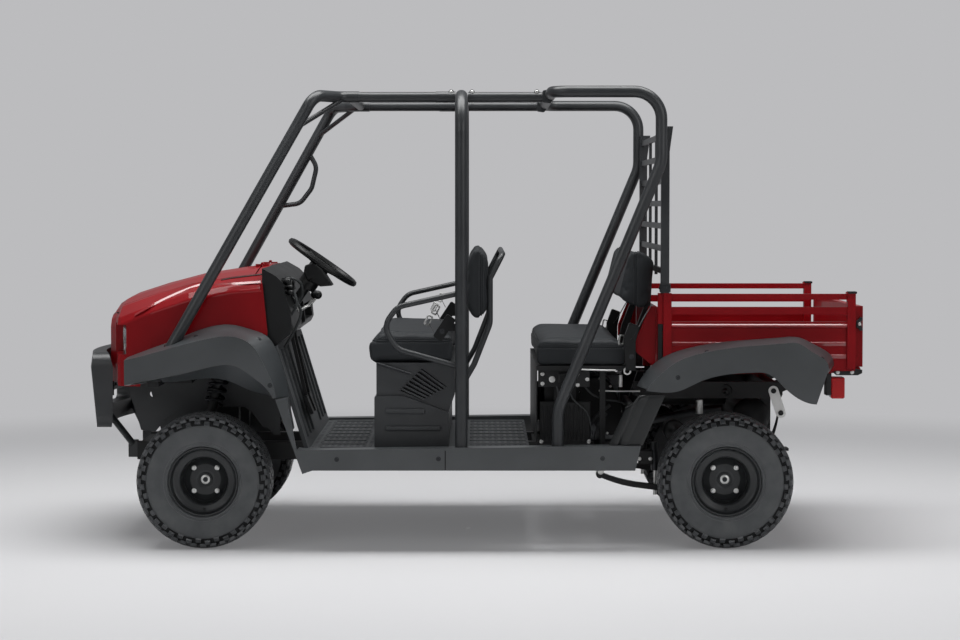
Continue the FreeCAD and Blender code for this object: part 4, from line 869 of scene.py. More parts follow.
meshFacts = {
    "x": -474, "bow": 46, "half": 300, "edge": 292, "zLow": 616, "zHigh": 742, "pitch": 13, "wire": 1.7,
    "proud": 2.5, "border": 3.0, "steps": 8,
    # how far the two sets of wires lie from each other's middle
    "weave": 0.6}


def grilleFront(y):
    # x of the bowed panel's face: an arc across the vehicle
    facts = meshFacts
    radius = (facts["half"] ** 2 + facts["bow"] ** 2) / (2 * facts["bow"])
    return facts["x"] + radius - math.sqrt(radius ** 2 - y ** 2)


def makeIntakeMesh():
    facts = meshFacts
    high = facts["zHigh"] - facts["zLow"]
    points, runs = [], []
    for lean in (-1, 1):
        y = -facts["edge"] - high
        while y < facts["edge"] + high:
            ends = []
            for t in range(facts["steps"] + 1):
                rise = high * t / facts["steps"]
                py = y + lean * rise
                if abs(py) <= facts["edge"]:
                    px = grilleFront(py) - facts["proud"] + lean * facts["weave"]
                    ends.append((px, py, facts["zLow"] + rise))
            if len(ends) > 1:
                first = len(points)
                points += ends
                runs += [(first + i, first + i + 1) for i in range(len(ends) - 1)]
            y += facts["pitch"]
    border = []
    for z in (facts["zLow"], facts["zHigh"]):
        row = [facts["edge"] * (i / 10 - 1) for i in range(21)]
        if z == facts["zHigh"]:
            row.reverse()
        border += [(grilleFront(y) - facts["proud"], y, z) for y in row]
    piece = addMesh("intakeMesh", points, [], "chassis")
    addEdges(piece, runs)
    grow(piece, beadTree, {"Radius": facts["wire"] / 1000, "Step": 0.012, "Sides": 4,
                           "Material": finishes["zincPlate"]})
    finishPiece(piece, finishes["zincPlate"])
    addBead("intakeMeshBorder", border, "chassis", "zincPlate", facts["border"], step=14, sides=6,
            closed=True)


makeIntakeMesh()
print("intake mesh made")


# raised pips on the floor, so boots grip when it is wet

matFacts = {
    "pitch": 26, "length": 21, "width": 6, "height": 1.1, "taper": 0.45,
    # where boots stand: x from and to, then y from and to
    "fields": ((452, 700, -668, 668), (1084, 1344, -668, 668)),
    # the floor's own ribs, which stay bare
    "ribPitch": 155, "ribFirst": -620, "ribHalf": 14}


def makeFloorMat():
    facts = matFacts
    # two sets, because neighbours lie crosswise
    spots = ([], [])
    for x0, x1, y0, y1 in facts["fields"]:
        for i in range(int((x1 - x0) / facts["pitch"]) + 1):
            for k in range(int((y1 - y0) / facts["pitch"]) + 1):
                x, y = x0 + i * facts["pitch"], y0 + k * facts["pitch"]
                beyond = (y - facts["ribFirst"]) % facts["ribPitch"]
                if min(beyond, facts["ribPitch"] - beyond) > facts["ribHalf"]:
                    spots[(i + k) % 2].append((x, y))
    for i, along in enumerate(((1, 1, 0), (1, -1, 0))):
        # cast from below the seats
        found = [spot + along for spot in topSpots("floor", spots[i], 700)]
        addBlocks("matBars" + str(i), found, "chassis", "rubberMat", facts["length"], facts["width"],
                  facts["height"], facts["taper"])


makeFloorMat()
print("floor mat made")


# plates, straps and other bent pieces

def softPlate(piece, material, bevel):
    # softens the edges and finishes the piece
    faceOutwards(piece)
    soft = piece.modifiers.new("soft", "BEVEL")
    soft.width = bevel / 1000
    soft.segments = 2
    soft.limit_method = "ANGLE"
    applyModifiers(piece)
    smoothFaces(piece, False)
    return finishPiece(piece, finishes[material])


def addPrism(name, outline, y0, y1, body, material, bevel=1.0):
    # an (x, z) outline between two y places
    points = [(x, y, z) for y in (y0, y1) for x, z in outline]
    return softPlate(addMesh(name, points, prismFaces(len(outline)), body), material, bevel)


def addBar(name, section, x0, x1, body, material, bevel=1.0):
    # a (y, z) section drawn out from front to rear
    points = [(x, y, z) for x in (x0, x1) for y, z in section]
    return softPlate(addMesh(name, points, prismFaces(len(section)), body), material, bevel)


def addBlock(name, x0, x1, y0, y1, z0, z1, body, material, bevel=2.0):
    return addPrism(name, [(x0, z0), (x1, z0), (x1, z1), (x0, z1)], y0, y1, body, material, bevel)


def addPlate(name, centre, along, across, outline, thickness, body, material, hole=None, bevel=0.6):
    # a flat plate in the plane of along and across; outline is in that plane, hole is a ring in it
    along, across = Vector(along).normalized(), Vector(across).normalized()
    up = along.cross(across)
    flat = [Vector(centre) + along * a + across * b for a, b in (*outline, *(hole or ()))]
    points = [tuple(p + up * lift) for lift in (-thickness / 2, thickness / 2) for p in flat]
    count = len(outline)
    faces = [] if hole else prismFaces(count)
    if hole:
        for i in range(count):
            j = (i + 1) % count
            faces += [(i, j, j + count, i + count),
                      (i + 2 * count, i + 3 * count, j + 3 * count, j + 2 * count),
                      (i, i + 2 * count, j + 2 * count, j),
                      (i + count, j + count, j + 3 * count, i + 3 * count)]
    return softPlate(addMesh(name, points, faces, body), material, bevel)


def roundedRing(wide, high, radius, steps=4):
    # a rectangle with round corners, about its own middle
    ring = []
    for cx, cy, first in ((1, 1, 0), (-1, 1, 90), (-1, -1, 180), (1, -1, 270)):
        for i in range(steps + 1):
            angle = math.radians(first + 90 * i / steps)
            ring.append((cx * (wide / 2 - radius) + radius * math.cos(angle),
                         cy * (high / 2 - radius) + radius * math.sin(angle)))
    return ring


def addStrap(name, line, width, thickness, body, material, across=(0, 1, 0)):
    # a flat strap along a line, its width along across
    across = Vector(across).normalized()
    path = [Vector(p) for p in line]
    points = []
    for i, spot in enumerate(path):
        ahead = path[min(i + 1, len(path) - 1)] - path[max(i - 1, 0)]
        flat = ahead.cross(across).normalized() * thickness / 2
        side = across * width / 2
        points += [tuple(spot + flat + side), tuple(spot + flat - side), tuple(spot - flat - side),
                   tuple(spot - flat + side)]
    last = 4 * len(path) - 4
    faces = bandFaces(len(path), 4) + [(3, 2, 1, 0), (last, last + 1, last + 2, last + 3)]
    piece = addMesh(name, points, faces, body, False)
    faceOutwards(piece)
    return finishPiece(piece, finishes[material])


# the butt joint between the two lengths of each step trim

seamFacts = {"x": (1000.6, 1005.4), "z": (342, 422), "proud": 0.4, "deep": 1.5}


def makeSeams():
    facts = seamFacts
    for name, side in bothSides:
        y = sideSpots("skirt_" + name, [(sum(facts["x"]) / 2, sum(facts["z"]) / 2)], side)[0][1]
        across = sorted((y + side * facts["proud"], y - side * facts["deep"]))
        addBlock("skirtSeam_" + name, *facts["x"], *across, *facts["z"], "chassis", "blackPolypropylene",
                 bevel=0.2)


makeSeams()
print("seams made")


# seat belt hardware

beltFacts = {
    "y": 668, "webWide": 46, "stubWide": 38, "webThick": 1.6, "thick": 2.6,
    # outer and inner size and corner of the tongues, then how they hang: along and across
    "plate": (44, 30, 7), "slit": (30, 16, 3),
    "hang": ((0.45, 0, 0.89), (0.75, -0.5, -0.38)), "rearHang": ((0.2, 0, 0.98), (0.8, -0.5, -0.1)),
    # front tongues: (x, z), then the end of webbing that hangs from each, counted from there
    "front": ((932, 948), (962, 992)), "stub": ((4, -12), (14, -30), (22, -46)),
    "rear": (1728, 868),
    # a ring on the rear anchor: (x, z), outer and inner size and corner, thickness
    "ring": (1752, 739), "ringOuter": (32, 32, 15), "ringInner": (19, 19, 9), "ringThick": 5,
    # the rear belt's line: (x, inwards, z)
    "rearLine": ((1765, 0, 870), (1790, 6, 905), (1822, 14, 962), (1852, 22, 1010)),
    "reelBolts": ((990, 905), (1768, 800)), "reelHead": (7, 5, 11)}


def makeBelts():
    facts = beltFacts
    thick, plate, slit = facts["thick"], roundedRing(*facts["plate"]), roundedRing(*facts["slit"])
    for name, side in bothSides:
        y = side * facts["y"]
        hang, rearHang = [(along, (across[0], side * across[1], across[2]))
                          for along, across in (facts["hang"], facts["rearHang"])]
        for i, (x, z) in enumerate(facts["front"]):
            addPlate("beltTongue" + str(i) + "_" + name, (x, y - side * 2, z), *hang, plate, thick, "chassis",
                     "zincPlate", slit)
            stub = smoothPath([(x + dx, y, z + dz) for dx, dz in facts["stub"]])
            addStrap("beltStub" + str(i) + "_" + name, stub, facts["stubWide"], facts["webThick"], "chassis",
                     "beltWebbing")
        x, z = facts["rear"]
        addPlate("rearBeltTongue_" + name, (x, y, z), *rearHang, plate, thick, "chassis", "zincPlate", slit)
        x, z = facts["ring"]
        addPlate("rearBeltRing_" + name, (x, y - side * 2, z), (1, 0, 0), (0, 0, 1),
                 roundedRing(*facts["ringOuter"]), facts["ringThick"], "chassis", "zincPlate",
                 roundedRing(*facts["ringInner"]))
        belt = smoothPath([(x, y - side * inwards, z) for x, inwards, z in facts["rearLine"]])
        addStrap("rearBelt_" + name, belt, facts["webWide"], facts["webThick"], "chassis", "beltWebbing")
        addFasteners("reelBolts_" + name, sideSpots("seat_belts", facts["reelBolts"], side), "chassis",
                     "blackOxide", *facts["reelHead"])


makeBelts()
print("belts made")


# joints of the cage

cageFacts = {
    # clamps on the roof rails: x of each, then y and z of the rail, and half of the clamp's width
    "clampX": (1024.5, 1111.5, 1382), "railY": 480, "clampZ": 1893, "clampHalf": 12, "clampHead": (6, 5, 8),
    # foot plates: (x, y) of each, z of its top, and how far its bolts stand from the tube
    "feet": ((1068, 733), (1464, 725)), "footZ": 421, "footReach": 29, "footHead": (5, 4, 7)}


def makeCageBolts():
    facts = cageFacts
    clamps = [(x, side * facts["railY"] + way * facts["clampHalf"], facts["clampZ"], 0, way, 0)
              for _, side in bothSides for x in facts["clampX"] for way in (-1, 1)]
    addFasteners("cageClampBolts", clamps, "chassis", "zincPlate", *facts["clampHead"])
    feet = [(x + way * facts["footReach"], side * y, facts["footZ"], 0, 0, 1)
            for x, y in facts["feet"] for _, side in bothSides for way in (-1, 1)]
    addFasteners("cageFootBolts", feet, "chassis", "zincPlate", *facts["footHead"])


makeCageBolts()
print("cage joints made")


# bed: folds and creases, latches, rubbing strips, caps, collars and corner plates

bedFacts = {
    # drawn along the bed's top rail and skin: finish, softening, x, then (distance from the middle, z)
    "bars": {
        "bedFold": ("foldEnamel", 1.2, (1933, 2655),
                    ((684, 918), (690, 923), (690, 929), (677, 942), (670, 944))),
        "bedCrease0": ("foldEnamel", 1.0, (1936, 2652),
                       ((677.5, 842), (681.5, 854), (681.5, 858), (677.5, 861))),
        "bedCrease1": ("foldEnamel", 1.0, (1936, 2652),
                       ((677.5, 790), (681.5, 802), (681.5, 806), (677.5, 809)))},
    # upright sheets and castings: finish, softening, distance from the middle, then (x, z)
    "sheets": {
        "bedCheek": ("redEnamel", 1.0, (640.5, 643.5),
                     ((1789, 816), (1868, 750), (1871, 752), (1871, 1004), (1847, 1006), (1789, 866))),
        "cornerPlate": ("chassisEnamel", 1.5, (656.5, 661.5),
                        ((2606, 748), (2606, 728), (2616, 721), (2704, 721), (2722, 730), (2722, 744),
                         (2700, 748))),
        "gateLatch": ("blackOxide", 1.5, (641, 652),
                      ((2698, 919), (2708, 913), (2712, 905), (2724, 905), (2724, 915), (2718, 923),
                       (2718, 942), (2724, 950), (2724, 960), (2712, 960), (2708, 952), (2698, 946)))},
    # boxes: finish, softening, x, distance from the middle and z
    "boxes": {
        "bedStrip": ("blackPolypropylene", 3, (1877, 1897.5), (650, 684), (750, 934)),
        "bedPostFront": ("redEnamel", 1.5, (1877, 1897.5), (650, 684), (934, 1061)),
        "screenCollar": ("blackOxide", 4, (1884, 1928), (652, 694), (1064, 1100)),
        "postCap": ("blackPolypropylene", 3, (2655, 2693.5), (652, 694), (1058, 1068)),
        "lampMount": ("chassisEnamel", 3, (2575, 2598), (582, 643), (636, 729))},
    # bolts: finish, head radius, height, flange radius and sides, then (x, distance from the middle, z) and
    # which way each looks, forward or outward
    "bolts": {
        "cornerPlateBolts": ("zincPlate", (6, 4, 8.5), ((2621, 661.5, 734, 0, 1), (2680, 661.5, 734, 0, 1))),
        "latchPin": ("zincPlate", (5, 4, 7, 12), ((2711, 652, 932.5, 0, 1),)),
        "screenCollarBolts": ("blackOxide", (5, 4, 8), ((1906, 694, 1082, 0, 1), (1884, 672, 1082, -1, 0)))},
    # the folded front edge of the cheek, which catches the light: (x, z)
    "cheekFold": ((1791, 818), (1791, 866), (1848, 1004)), "cheekFoldY": 640}


def makeBedDetails():
    facts = bedFacts
    for name, side in bothSides:
        for piece, (finish, soft, (x0, x1), section) in facts["bars"].items():
            addBar(piece + "_" + name, [(side * y, z) for y, z in section], x0, x1, "bed", finish, soft)
        for piece, (finish, soft, (y0, y1), outline) in facts["sheets"].items():
            addPrism(piece + "_" + name, outline, side * y0, side * y1, "bed", finish, soft)
        fold = [(x, side * facts["cheekFoldY"], z) for x, z in facts["cheekFold"]]
        addBead("bedCheekFold_" + name, fold, "bed", "redEnamel", radius=5)
        for piece, (finish, soft, (x0, x1), (y0, y1), (z0, z1)) in facts["boxes"].items():
            addBlock(piece + "_" + name, x0, x1, side * y0, side * y1, z0, z1, "bed", finish, soft)
        for piece, (finish, head, places) in facts["bolts"].items():
            spots = [(x, side * y, z, forward, side * outward, 0) for x, y, z, forward, outward in places]
            addFasteners(piece + "_" + name, spots, "bed", finish, *head)


makeBedDetails()
print("bed details made")


# springs round the front struts, leaning back as the struts do
springFacts = {
    "y": 400, "foot": (0, 500.3), "top": (56, 753), "start": 0.3, "turns": 5.2, "perTurn": 20,
    "radius": 36, "wire": 5.5}


def makeSprings():
    facts = springFacts
    (x0, z0), (x1, z1) = facts["foot"], facts["top"]
    steps = int(facts["turns"] * facts["perTurn"])
    for name, side in bothSides:
        path = []
        for i in range(steps + 1):
            share = facts["start"] + (1 - facts["start"]) * i / steps
            turn = math.tau * facts["turns"] * i / steps
            out, across = facts["radius"] * math.cos(turn), facts["radius"] * math.sin(turn)
            path.append((x0 + (x1 - x0) * share + out, side * facts["y"] + across,
                         z0 + (z1 - z0) * share - out * (x1 - x0) / (z1 - z0)))
        addBead("strutSpring_" + name, path, "chassis", "blackOxide", facts["wire"], step=9)


makeSprings()
print("springs made")


# the moulded leg guards ahead of the rear wheels, folded along two slanting creases
legFacts = {
    "out": 770, "wall": 4.5, "rows": 10, "round": 3,
    # front edge, first crease, second crease and rear edge: (x, z) at the top and at the foot, then
    # the depth in from out
    "lines": (((1741, 594), (1672, 442), 26), ((1772, 612), (1706, 442), 2), ((1796, 641), (1718, 442), 12),
              ((1836, 645), (1748, 442), 0), ((1901, 645), (1810, 442), 1)),
    # the rolled top edge: (x, depth, z)
    "rim": ((1741, 23, 594), (1772, 3, 612), (1796, 3, 641), (1836, 3, 646), (1901, 3, 646))}


def makeLegGuards():
    facts = legFacts
    lines, rows = facts["lines"], facts["rows"]
    across = rows + 1
    for name, side in bothSides:
        points = [(x0 + (x1 - x0) * k / rows, side * (facts["out"] - depth), z0 + (z1 - z0) * k / rows)
                  for (x1, z1), (x0, z0), depth in lines for k in range(across)]
        starts = [i * across + k for i in range(len(lines) - 1) for k in range(rows)]
        faces = [(a, a + across, a + across + 1, a + 1) for a in starts]
        guard = addMesh("legGuard_" + name, points, faces, "chassis")
        # the sheet is open, so its facing is set by hand before it gets its wall
        shape = bmesh.new()
        shape.from_mesh(guard.data)
        for face in shape.faces:
            face.normal_update()
            if face.normal.y * side < 0:
                face.normal_flip()
        shape.to_mesh(guard.data)
        shape.free()
        addWall(guard, facts["wall"], -1)
        soft = guard.modifiers.new("soft", "BEVEL")
        soft.width = facts["round"] / 1000
        soft.segments = 3
        soft.limit_method = "ANGLE"
        soft.angle_limit = math.radians(20)
        applyModifiers(guard)
        # the guard and its rim are painted dark as the fender's shadow on them
        finishPiece(guard, finishes["shadedGuardPolypropylene"])
        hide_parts("rear_side_panel_" + name)
        rim = [(x, side * (facts["out"] - depth), z) for x, depth, z in facts["rim"]]
        addBead("legGuardRim_" + name, rim, "chassis", "shadedGuardPolypropylene", radius=4)


makeLegGuards()
print("leg guards made")


# what shows beneath the seats and above the rear wheels, between the panels
bayFacts = {
    # rods, hoses and cables on both sides: finish, radius, then (x, distance from the middle, z)
    "runs": {
        "beltStalk": ("blackOxide", 5, ((721, 652, 770), (800, 652, 744), (858, 654, 726))),
        "seatRail": ("zincPlate", 3.6, ((1425, 612, 745), (1565, 622, 742), (1705, 630, 739))),
        "fuelHose": ("hoseRubber", 8,
                     ((1691, 480, 583), (1650, 478, 552), (1614, 480, 513), (1600, 484, 462))),
        "ventHose": ("hoseRubber", 6.5,
                     ((1677, 466, 548), (1652, 466, 520), (1640, 470, 485), (1628, 476, 438))),
        "mainCable": ("hoseRubber", 4,
                      ((1452, 592, 700), (1470, 600, 640), (1458, 603, 560), (1450, 600, 450))),
        "shiftRod": ("zincPlate", 4, ((1640, 560, 650), (1720, 560, 648), (1812, 560, 648))),
        "brakeLine": ("hoseRubber", 4,
                      ((1560, 560, 700), (1605, 552, 640), (1665, 540, 612), (1730, 520, 600),
                       (1800, 500, 566))),
        "throttleCable": ("hoseRubber", 3.5,
                          ((1500, 600, 700), (1530, 606, 620), (1590, 600, 560), (1612, 588, 470))),
        "filter": ("zincPlate", 9, ((1731, 540, 664), (1731, 540, 690), (1731, 540, 714))),
        "damper": ("zincPlate", 8, ((1887, 400, 318), (1887, 400, 260), (1887, 400, 196))),
        "damperBody": ("blackOxide", 17, ((1880, 400, 420), (1884, 400, 360), (1887, 400, 300))),
        "reservoir": ("zincPlate", 16, ((2072, 415, 541), (2072, 415, 570), (2072, 415, 600))),
        "sparkLead": ("hoseRubber", 5,
                      ((1560, 240, 700), (1610, 300, 712), (1668, 320, 700), (1700, 250, 670)))},
    # boxes and plates on both sides: finish, softening, x, distance from the middle and z
    "boxes": {
        "batteryCover": ("blackPolypropylene", 6, (1392, 1606), (574, 588), (424, 608)),
        "railPlate": ("chassisEnamel", 2, (1386, 1600), (596, 600), (668, 738)),
        "hangerBox": ("chassisEnamel", 4, (1815, 1878), (380, 420), (326, 386)),
        "coil": ("blackPolypropylene", 5, (1470, 1522), (600, 622), (682, 726)),
        "footRail": ("greyedPolypropylene", 6, (754, 983), (642, 662), (490, 511)),
        "footRailTop": ("greyedPolypropylene", 6, (754, 917), (642, 662), (560, 582)),
        "innerGuard": ("chassisEnamel", 8, (1752, 1776), (300, 690), (452, 612)),
        "intakeBox": ("chassisEnamel", 12, (1900, 2214), (10, 130), (556, 640))},
    # the inner wing sheet ahead of and behind each front strut: (x, z), then its distance from the middle
    "wing": ((-262, 640), (-222, 462), (-60, 462), (30, 560), (150, 560), (215, 470), (288, 470), (288, 640)),
    "wingY": (284, 289),
    # bolts: head radius, then (x, distance from the middle, z)
    "bolts": {
        "bigBolts": (9, ((1444, 600, 700), (1655, 442, 299))),
        "smallBolts": (5.5, ((1549, 600, 722), (1550, 600, 676), (1404, 600, 722), (1404, 600, 682),
                             (1590, 600, 700), (1400, 588, 440), (1598, 588, 440), (1820, 420, 350),
                             (1866, 420, 350)))},
    # ribs on the battery cover: every x, then distance from the middle and z; length, width and height
    "ribs": (range(1404, 1594, 19), 588, 516), "ribSize": (150, 8, 5),
    # a plug in each rail's end: (x, z), then (y beyond the rail's face, radius)
    "plug": (2178, 640), "plugProfile": ((-2, 29), (5, 29), (8, 25), (4, 20), (4, 8), (8, 6), (8, 0.01)),
    # brake drums: (x, z), then (distance from the middle, radius)
    "drum": (1968, 468),
    "drumProfile": ((300, 0.01), (300, 46), (430, 46), (436, 38), (436, 20), (444, 18), (444, 0.01)),
    # the drive belt's cover on the engine's left: each end's (x, z, radius), its sides, its bolts' edge
    "beltCover": ((1640, 606, 84), (1704, 506, 70)), "beltCoverY": (-212, -270), "beltCoverEdge": 8,
    "beltCoverHead": (4, 4, 6),
    # muffler: (x, z), then half of its profile as (distance from the middle, radius)
    "muffler": (2300, 522),
    "mufflerProfile": ((340, 0.01), (340, 56), (330, 72), (326, 81), (318, 81), (316, 78)),
    "exhaust": ((1738, 60, 470), (1830, 110, 452), (1960, 190, 470), (2120, 200, 500), (2240, 170, 520))}


def makeBaySide(name, side):
    facts = bayFacts
    for piece, (finish, radius, path) in facts["runs"].items():
        line = smoothPath([(x, side * y, z) for x, y, z in path], 5)
        addBead(piece + "_" + name, line, "chassis", finish, radius, step=9, sides=12)
    for piece, (finish, soft, (x0, x1), (y0, y1), (z0, z1)) in facts["boxes"].items():
        addBlock(piece + "_" + name, x0, x1, side * y0, side * y1, z0, z1, "chassis", finish, soft)
    for piece, (head, places) in facts["bolts"].items():
        spots = [(x, side * y, z, 0, side, 0) for x, y, z in places]
        addFasteners(piece + "_" + name, spots, "chassis", "zincPlate", head, 5, head * 1.5)
    across, y, z = facts["ribs"]
    ribs = [(x, side * y, z, 0, side, 0, 0, 0, 1) for x in across]
    addBlocks("batteryCoverRibs_" + name, ribs, "chassis", "blackPolypropylene", *facts["ribSize"], draft=0.5)
    y0, y1 = [side * y for y in facts["wingY"]]
    addPrism("wingSheet_" + name, facts["wing"], y0, y1, "chassis", "greyedPolypropylene")
    face = sideSpots("frame", [facts["plug"]], side)[0][1]
    plug = [(face + side * off, radius) for off, radius in facts["plugProfile"]]
    turned("railPlug_" + name, plug, *facts["plug"], "chassis", "blackPolypropylene", sides=32)
    drum = [(side * y, radius) for y, radius in facts["drumProfile"]]
    turned("brakeDrum_" + name, drum, *facts["drum"], "chassis", "chassisEnamel", sides=32)


def makeBeltCover():
    # two round ends and the straights between them, with a bolt every 45 degrees of each end
    facts = bayFacts
    ends, (inner, outer) = facts["beltCover"], facts["beltCoverY"]
    outline, spots = [], []
    lean = math.atan2(ends[1][1] - ends[0][1], ends[1][0] - ends[0][0])
    for (x, z, radius), first in ((ends[0], lean + math.pi / 2), (ends[1], lean - math.pi / 2)):
        for i in range(13):
            angle, within = first + math.pi * i / 12, radius - facts["beltCoverEdge"]
            outline.append((x + radius * math.cos(angle), z + radius * math.sin(angle)))
            if i % 3 == 0:
                spots.append((x + within * math.cos(angle), outer, z + within * math.sin(angle), 0, -1, 0))
    addPrism("beltCover", outline, inner, outer, "chassis", "blackPolypropylene", bevel=8)
    addFasteners("beltCoverBolts", spots, "chassis", "zincPlate", *facts["beltCoverHead"])


def makeBay():
    for name, side in bothSides:
        makeBaySide(name, side)
    makeBeltCover()
    half = bayFacts["mufflerProfile"]
    muffler = [(-y, radius) for y, radius in half] + [(y, radius) for y, radius in reversed(half)]
    turned("muffler", muffler, *bayFacts["muffler"], "chassis", "chassisEnamel", sides=40)
    addBead("exhaustPipe", smoothPath(bayFacts["exhaust"]), "chassis", "castAluminium", radius=17, step=14,
            sides=16)


makeBay()
print("bay details made")


# dash: dials, switches, levers

dashFacts = {
    "dial": (-340, 1064), "dialRadius": 44, "switches": ((-200, 1076), (-160, 1076), (-120, 1076)),
    "sockets": ((-60, 1010), (-20, 1010)), "vents": ((300, 1075), (470, 1075)),
    # turned parts: (x from the dash's face, radius); for bezel, card and knob the second number is added
    # to the part's own radius
    "bezel": ((-4, 9), (10, 7), (13, 2), (9, 0), (4, -1)), "card": ((5, -2), (5.6, -2)),
    "socket": ((-3, 17), (4, 17), (6, 14), (6, 11), (-2, 10), (-2, 0.01)),
    "knob": ((-6, -5), (6, -5), (8, 0), (28, 0), (33, -4)), "knobTop": 34,
    # blocks on the face: x from and to, then half of the width and height; five blades fill a vent
    "switchFrame": (-3, 3, 14, 22), "ventFrame": (-4, 2.5, 62, 20), "blade": (2, 6, 56, 1),
    "blades": (-15, -7.5, 0, 7.5, 15),
    # a rocker's outline: (x, z) about the switch
    "rocker": ((2, -17), (10, -17), (5, 0), (8, 17), (2, 17)),
    # levers: (y, z, reach), then the ball on top: (y about its middle, radius)
    "levers": ((-218, 965, 78), (-178, 965, 64)),
    "ball": ((-15, 0.01), (-14, 10), (-7, 17), (0, 19), (7, 17), (14, 10), (15, 0.01)),
    # knobs: (y, z, radius)
    "knobs": ((-600, 1105, 15), (-570, 1080, 13), (-600, 1060, 12), (-520, 1110, 14)),
    "cables": (((372, -600, 1070), (386, -610, 1010), (352, -600, 950), (338, -585, 880)),
               ((366, -560, 1040), (400, -560, 980), (372, -560, 900), (330, -550, 830)),
               ((350, -520, 1120), (392, -500, 1100), (398, -480, 1040), (360, -470, 990))),
    # a boxed cover round the top of the column: (x, z), then its sides
    "shroud": ((404, 1168), (440, 1180), (478, 1150), (522, 1082), (470, 1078), (412, 1104), (398, 1136)),
    "shroudY": (-392, -288)}
# on the body beside the hood: the long slot on top, with a black bead in it as painted shade, and the fold
# between side and top as (x, z)
hoodFacts = {
    "slotX": (66, 100, 140, 180, 215, 236), "slotY": 541,
    "fold": ((-285, 966), (-216, 1004), (-120, 1052), (-16, 1090), (57, 1092), (152, 1098), (241, 1104)),
    "foldWide": 13, "foldThick": 3}


def dashSpots(places):
    # places are (y, z) on the face towards the seats
    return [spot[:3] for spot in spotsOn("dash", places, lambda y, z: (800, y, z), (-1, 0, 0))]


def addFaceBlock(name, spot, size, material, bevel=2.0):
    (x, y, z), (x0, x1, wide, high) = spot, size
    addBlock(name, x + x0, x + x1, y - wide, y + wide, z - high, z + high, "chassis", material, bevel)


def makeDial():
    facts, radius = dashFacts, dashFacts["dialRadius"]
    x, y, z = dashSpots([facts["dial"]])[0]
    bezel = [(x + off, radius + more) for off, more in facts["bezel"]] + [(x + 4, 0.01)]
    turnedX("dialBezel", bezel, y, z, "chassis", "blackPolypropylene")
    card = [(x + off, radius + more) for off, more in facts["card"]] + [(x + 5.6, 0.01)]
    turnedX("dialFace", card, y, z, "chassis", "dialPrint")
    needle = [(0, -3), (radius - 12, -1), (radius - 10, 0), (radius - 12, 1), (0, 3), (-8, 2), (-8, -2)]
    addPlate("dialNeedle", (x + 8, y, z), (0, -0.6, -0.8), (0, -0.8, 0.6), needle, 1.2, "chassis",
             "redAcrylic", bevel=0.2)


def makeDashDetails():
    facts = dashFacts
    makeDial()
    for i, (x, y, z) in enumerate(dashSpots(facts["switches"])):
        addFaceBlock("switchFrame" + str(i), (x, y, z), facts["switchFrame"], "blackPolypropylene")
        rocker = [(x + dx, z + dz) for dx, dz in facts["rocker"]]
        addPrism("switchRocker" + str(i), rocker, y - 10, y + 10, "chassis", "chassisEnamel")
    for i, (x, y, z) in enumerate(dashSpots(facts["sockets"])):
        socket = [(x + off, radius) for off, radius in facts["socket"]]
        turnedX("powerSocket" + str(i), socket, y, z, "chassis", "chassisEnamel")
    for i, (x, y, z) in enumerate(dashSpots(facts["vents"])):
        addFaceBlock("ventFrame" + str(i), (x, y, z), facts["ventFrame"], "blackPolypropylene")
        for k, lift in enumerate(facts["blades"]):
            addFaceBlock("ventBlade" + str(i) + str(k), (x, y, z + lift), facts["blade"], "chassisEnamel",
                         bevel=0.5)
    for i, (y, z, reach) in enumerate(facts["levers"]):
        x = dashSpots([(y, z)])[0][0]
        addBead("leverRod" + str(i), [(x - 4, y, z), (x + reach * 0.6, y, z + 26), (x + reach, y, z + 62)],
                "chassis", "zincPlate", radius=5)
        ball = [(y + off, radius) for off, radius in facts["ball"]]
        turned("leverKnob" + str(i), ball, x + reach + 4, z + 72, "chassis", "chassisEnamel", sides=24)
    for i, (y, z, radius) in enumerate(facts["knobs"]):
        x = dashSpots([(y, z)])[0][0]
        knob = [(x + off, radius + more) for off, more in facts["knob"]]
        turnedX("dashKnob" + str(i), [(x - 6, 0.01), *knob, (x + facts["knobTop"], 0.01)], y, z, "chassis",
                "blackPolypropylene", sides=20)
    for i, path in enumerate(facts["cables"]):
        addBead("dashCable" + str(i), smoothPath(path), "chassis", "hoseRubber", radius=6, step=9, sides=10)
    addPrism("columnShroud", facts["shroud"], *facts["shroudY"], "chassis", "blackPolypropylene", bevel=6)


def makeHoodEdges():
    facts = hoodFacts
    for name, side in bothSides:
        fold = [(x, y + side * 2.5, z + 1.5) for x, y, z, *_ in sideSpots("front_body", facts["fold"], side)]
        addStrap("hoodShoulder_" + name, smoothPath(fold), facts["foldWide"], facts["foldThick"], "chassis",
                 "foldEnamel", (0, -side * 0.71, 0.71))
        # a black bead in the slot stands in for the shade inside it
        slot = topSpots("front_body", [(x, side * facts["slotY"]) for x in facts["slotX"]])
        addBead("hoodSlotShade_" + name, [spot[:3] for spot in slot], "chassis", "blackPolypropylene", radius=5,
                step=9)


makeDashDetails()
makeHoodEdges()
print("dash details made")


# floor, backdrop, lamps and camera

# metres: the sweep's radius, the bend at its foot and its height; between the two distances in fade the lit
# floor becomes the flat wall
studio = {
    "radius": 30.0, "bend": 4.0, "height": 9.5, "fade": (4.2, 6.6), "around": 72, "bendSteps": 12,
    "floorColour": "#c8c8ca", "floorDrift": "#cececf", "wallColour": "#bcbcbe", "floorGlow": 0.25,
    "mirrored": 0.34,
    # softboxes: size, power in watts, place and target
    "lamps": {
        "overheadSoftbox": ((6.5, 3.0), 460, (0.0, -0.5, 5.4), (0, 0, 0.6)),
        "frontSoftbox": ((5.0, 3.0), 64, (-4.5, -6.5, 3.6), (0, 0, 0.8)),
        "rearSoftbox": ((4.0, 3.0), 80, (5.0, -6.0, 3.2), (0.3, 0, 0.8))},
    "air": (0.80, 0.81, 0.83, 1), "airStrength": 0.27}


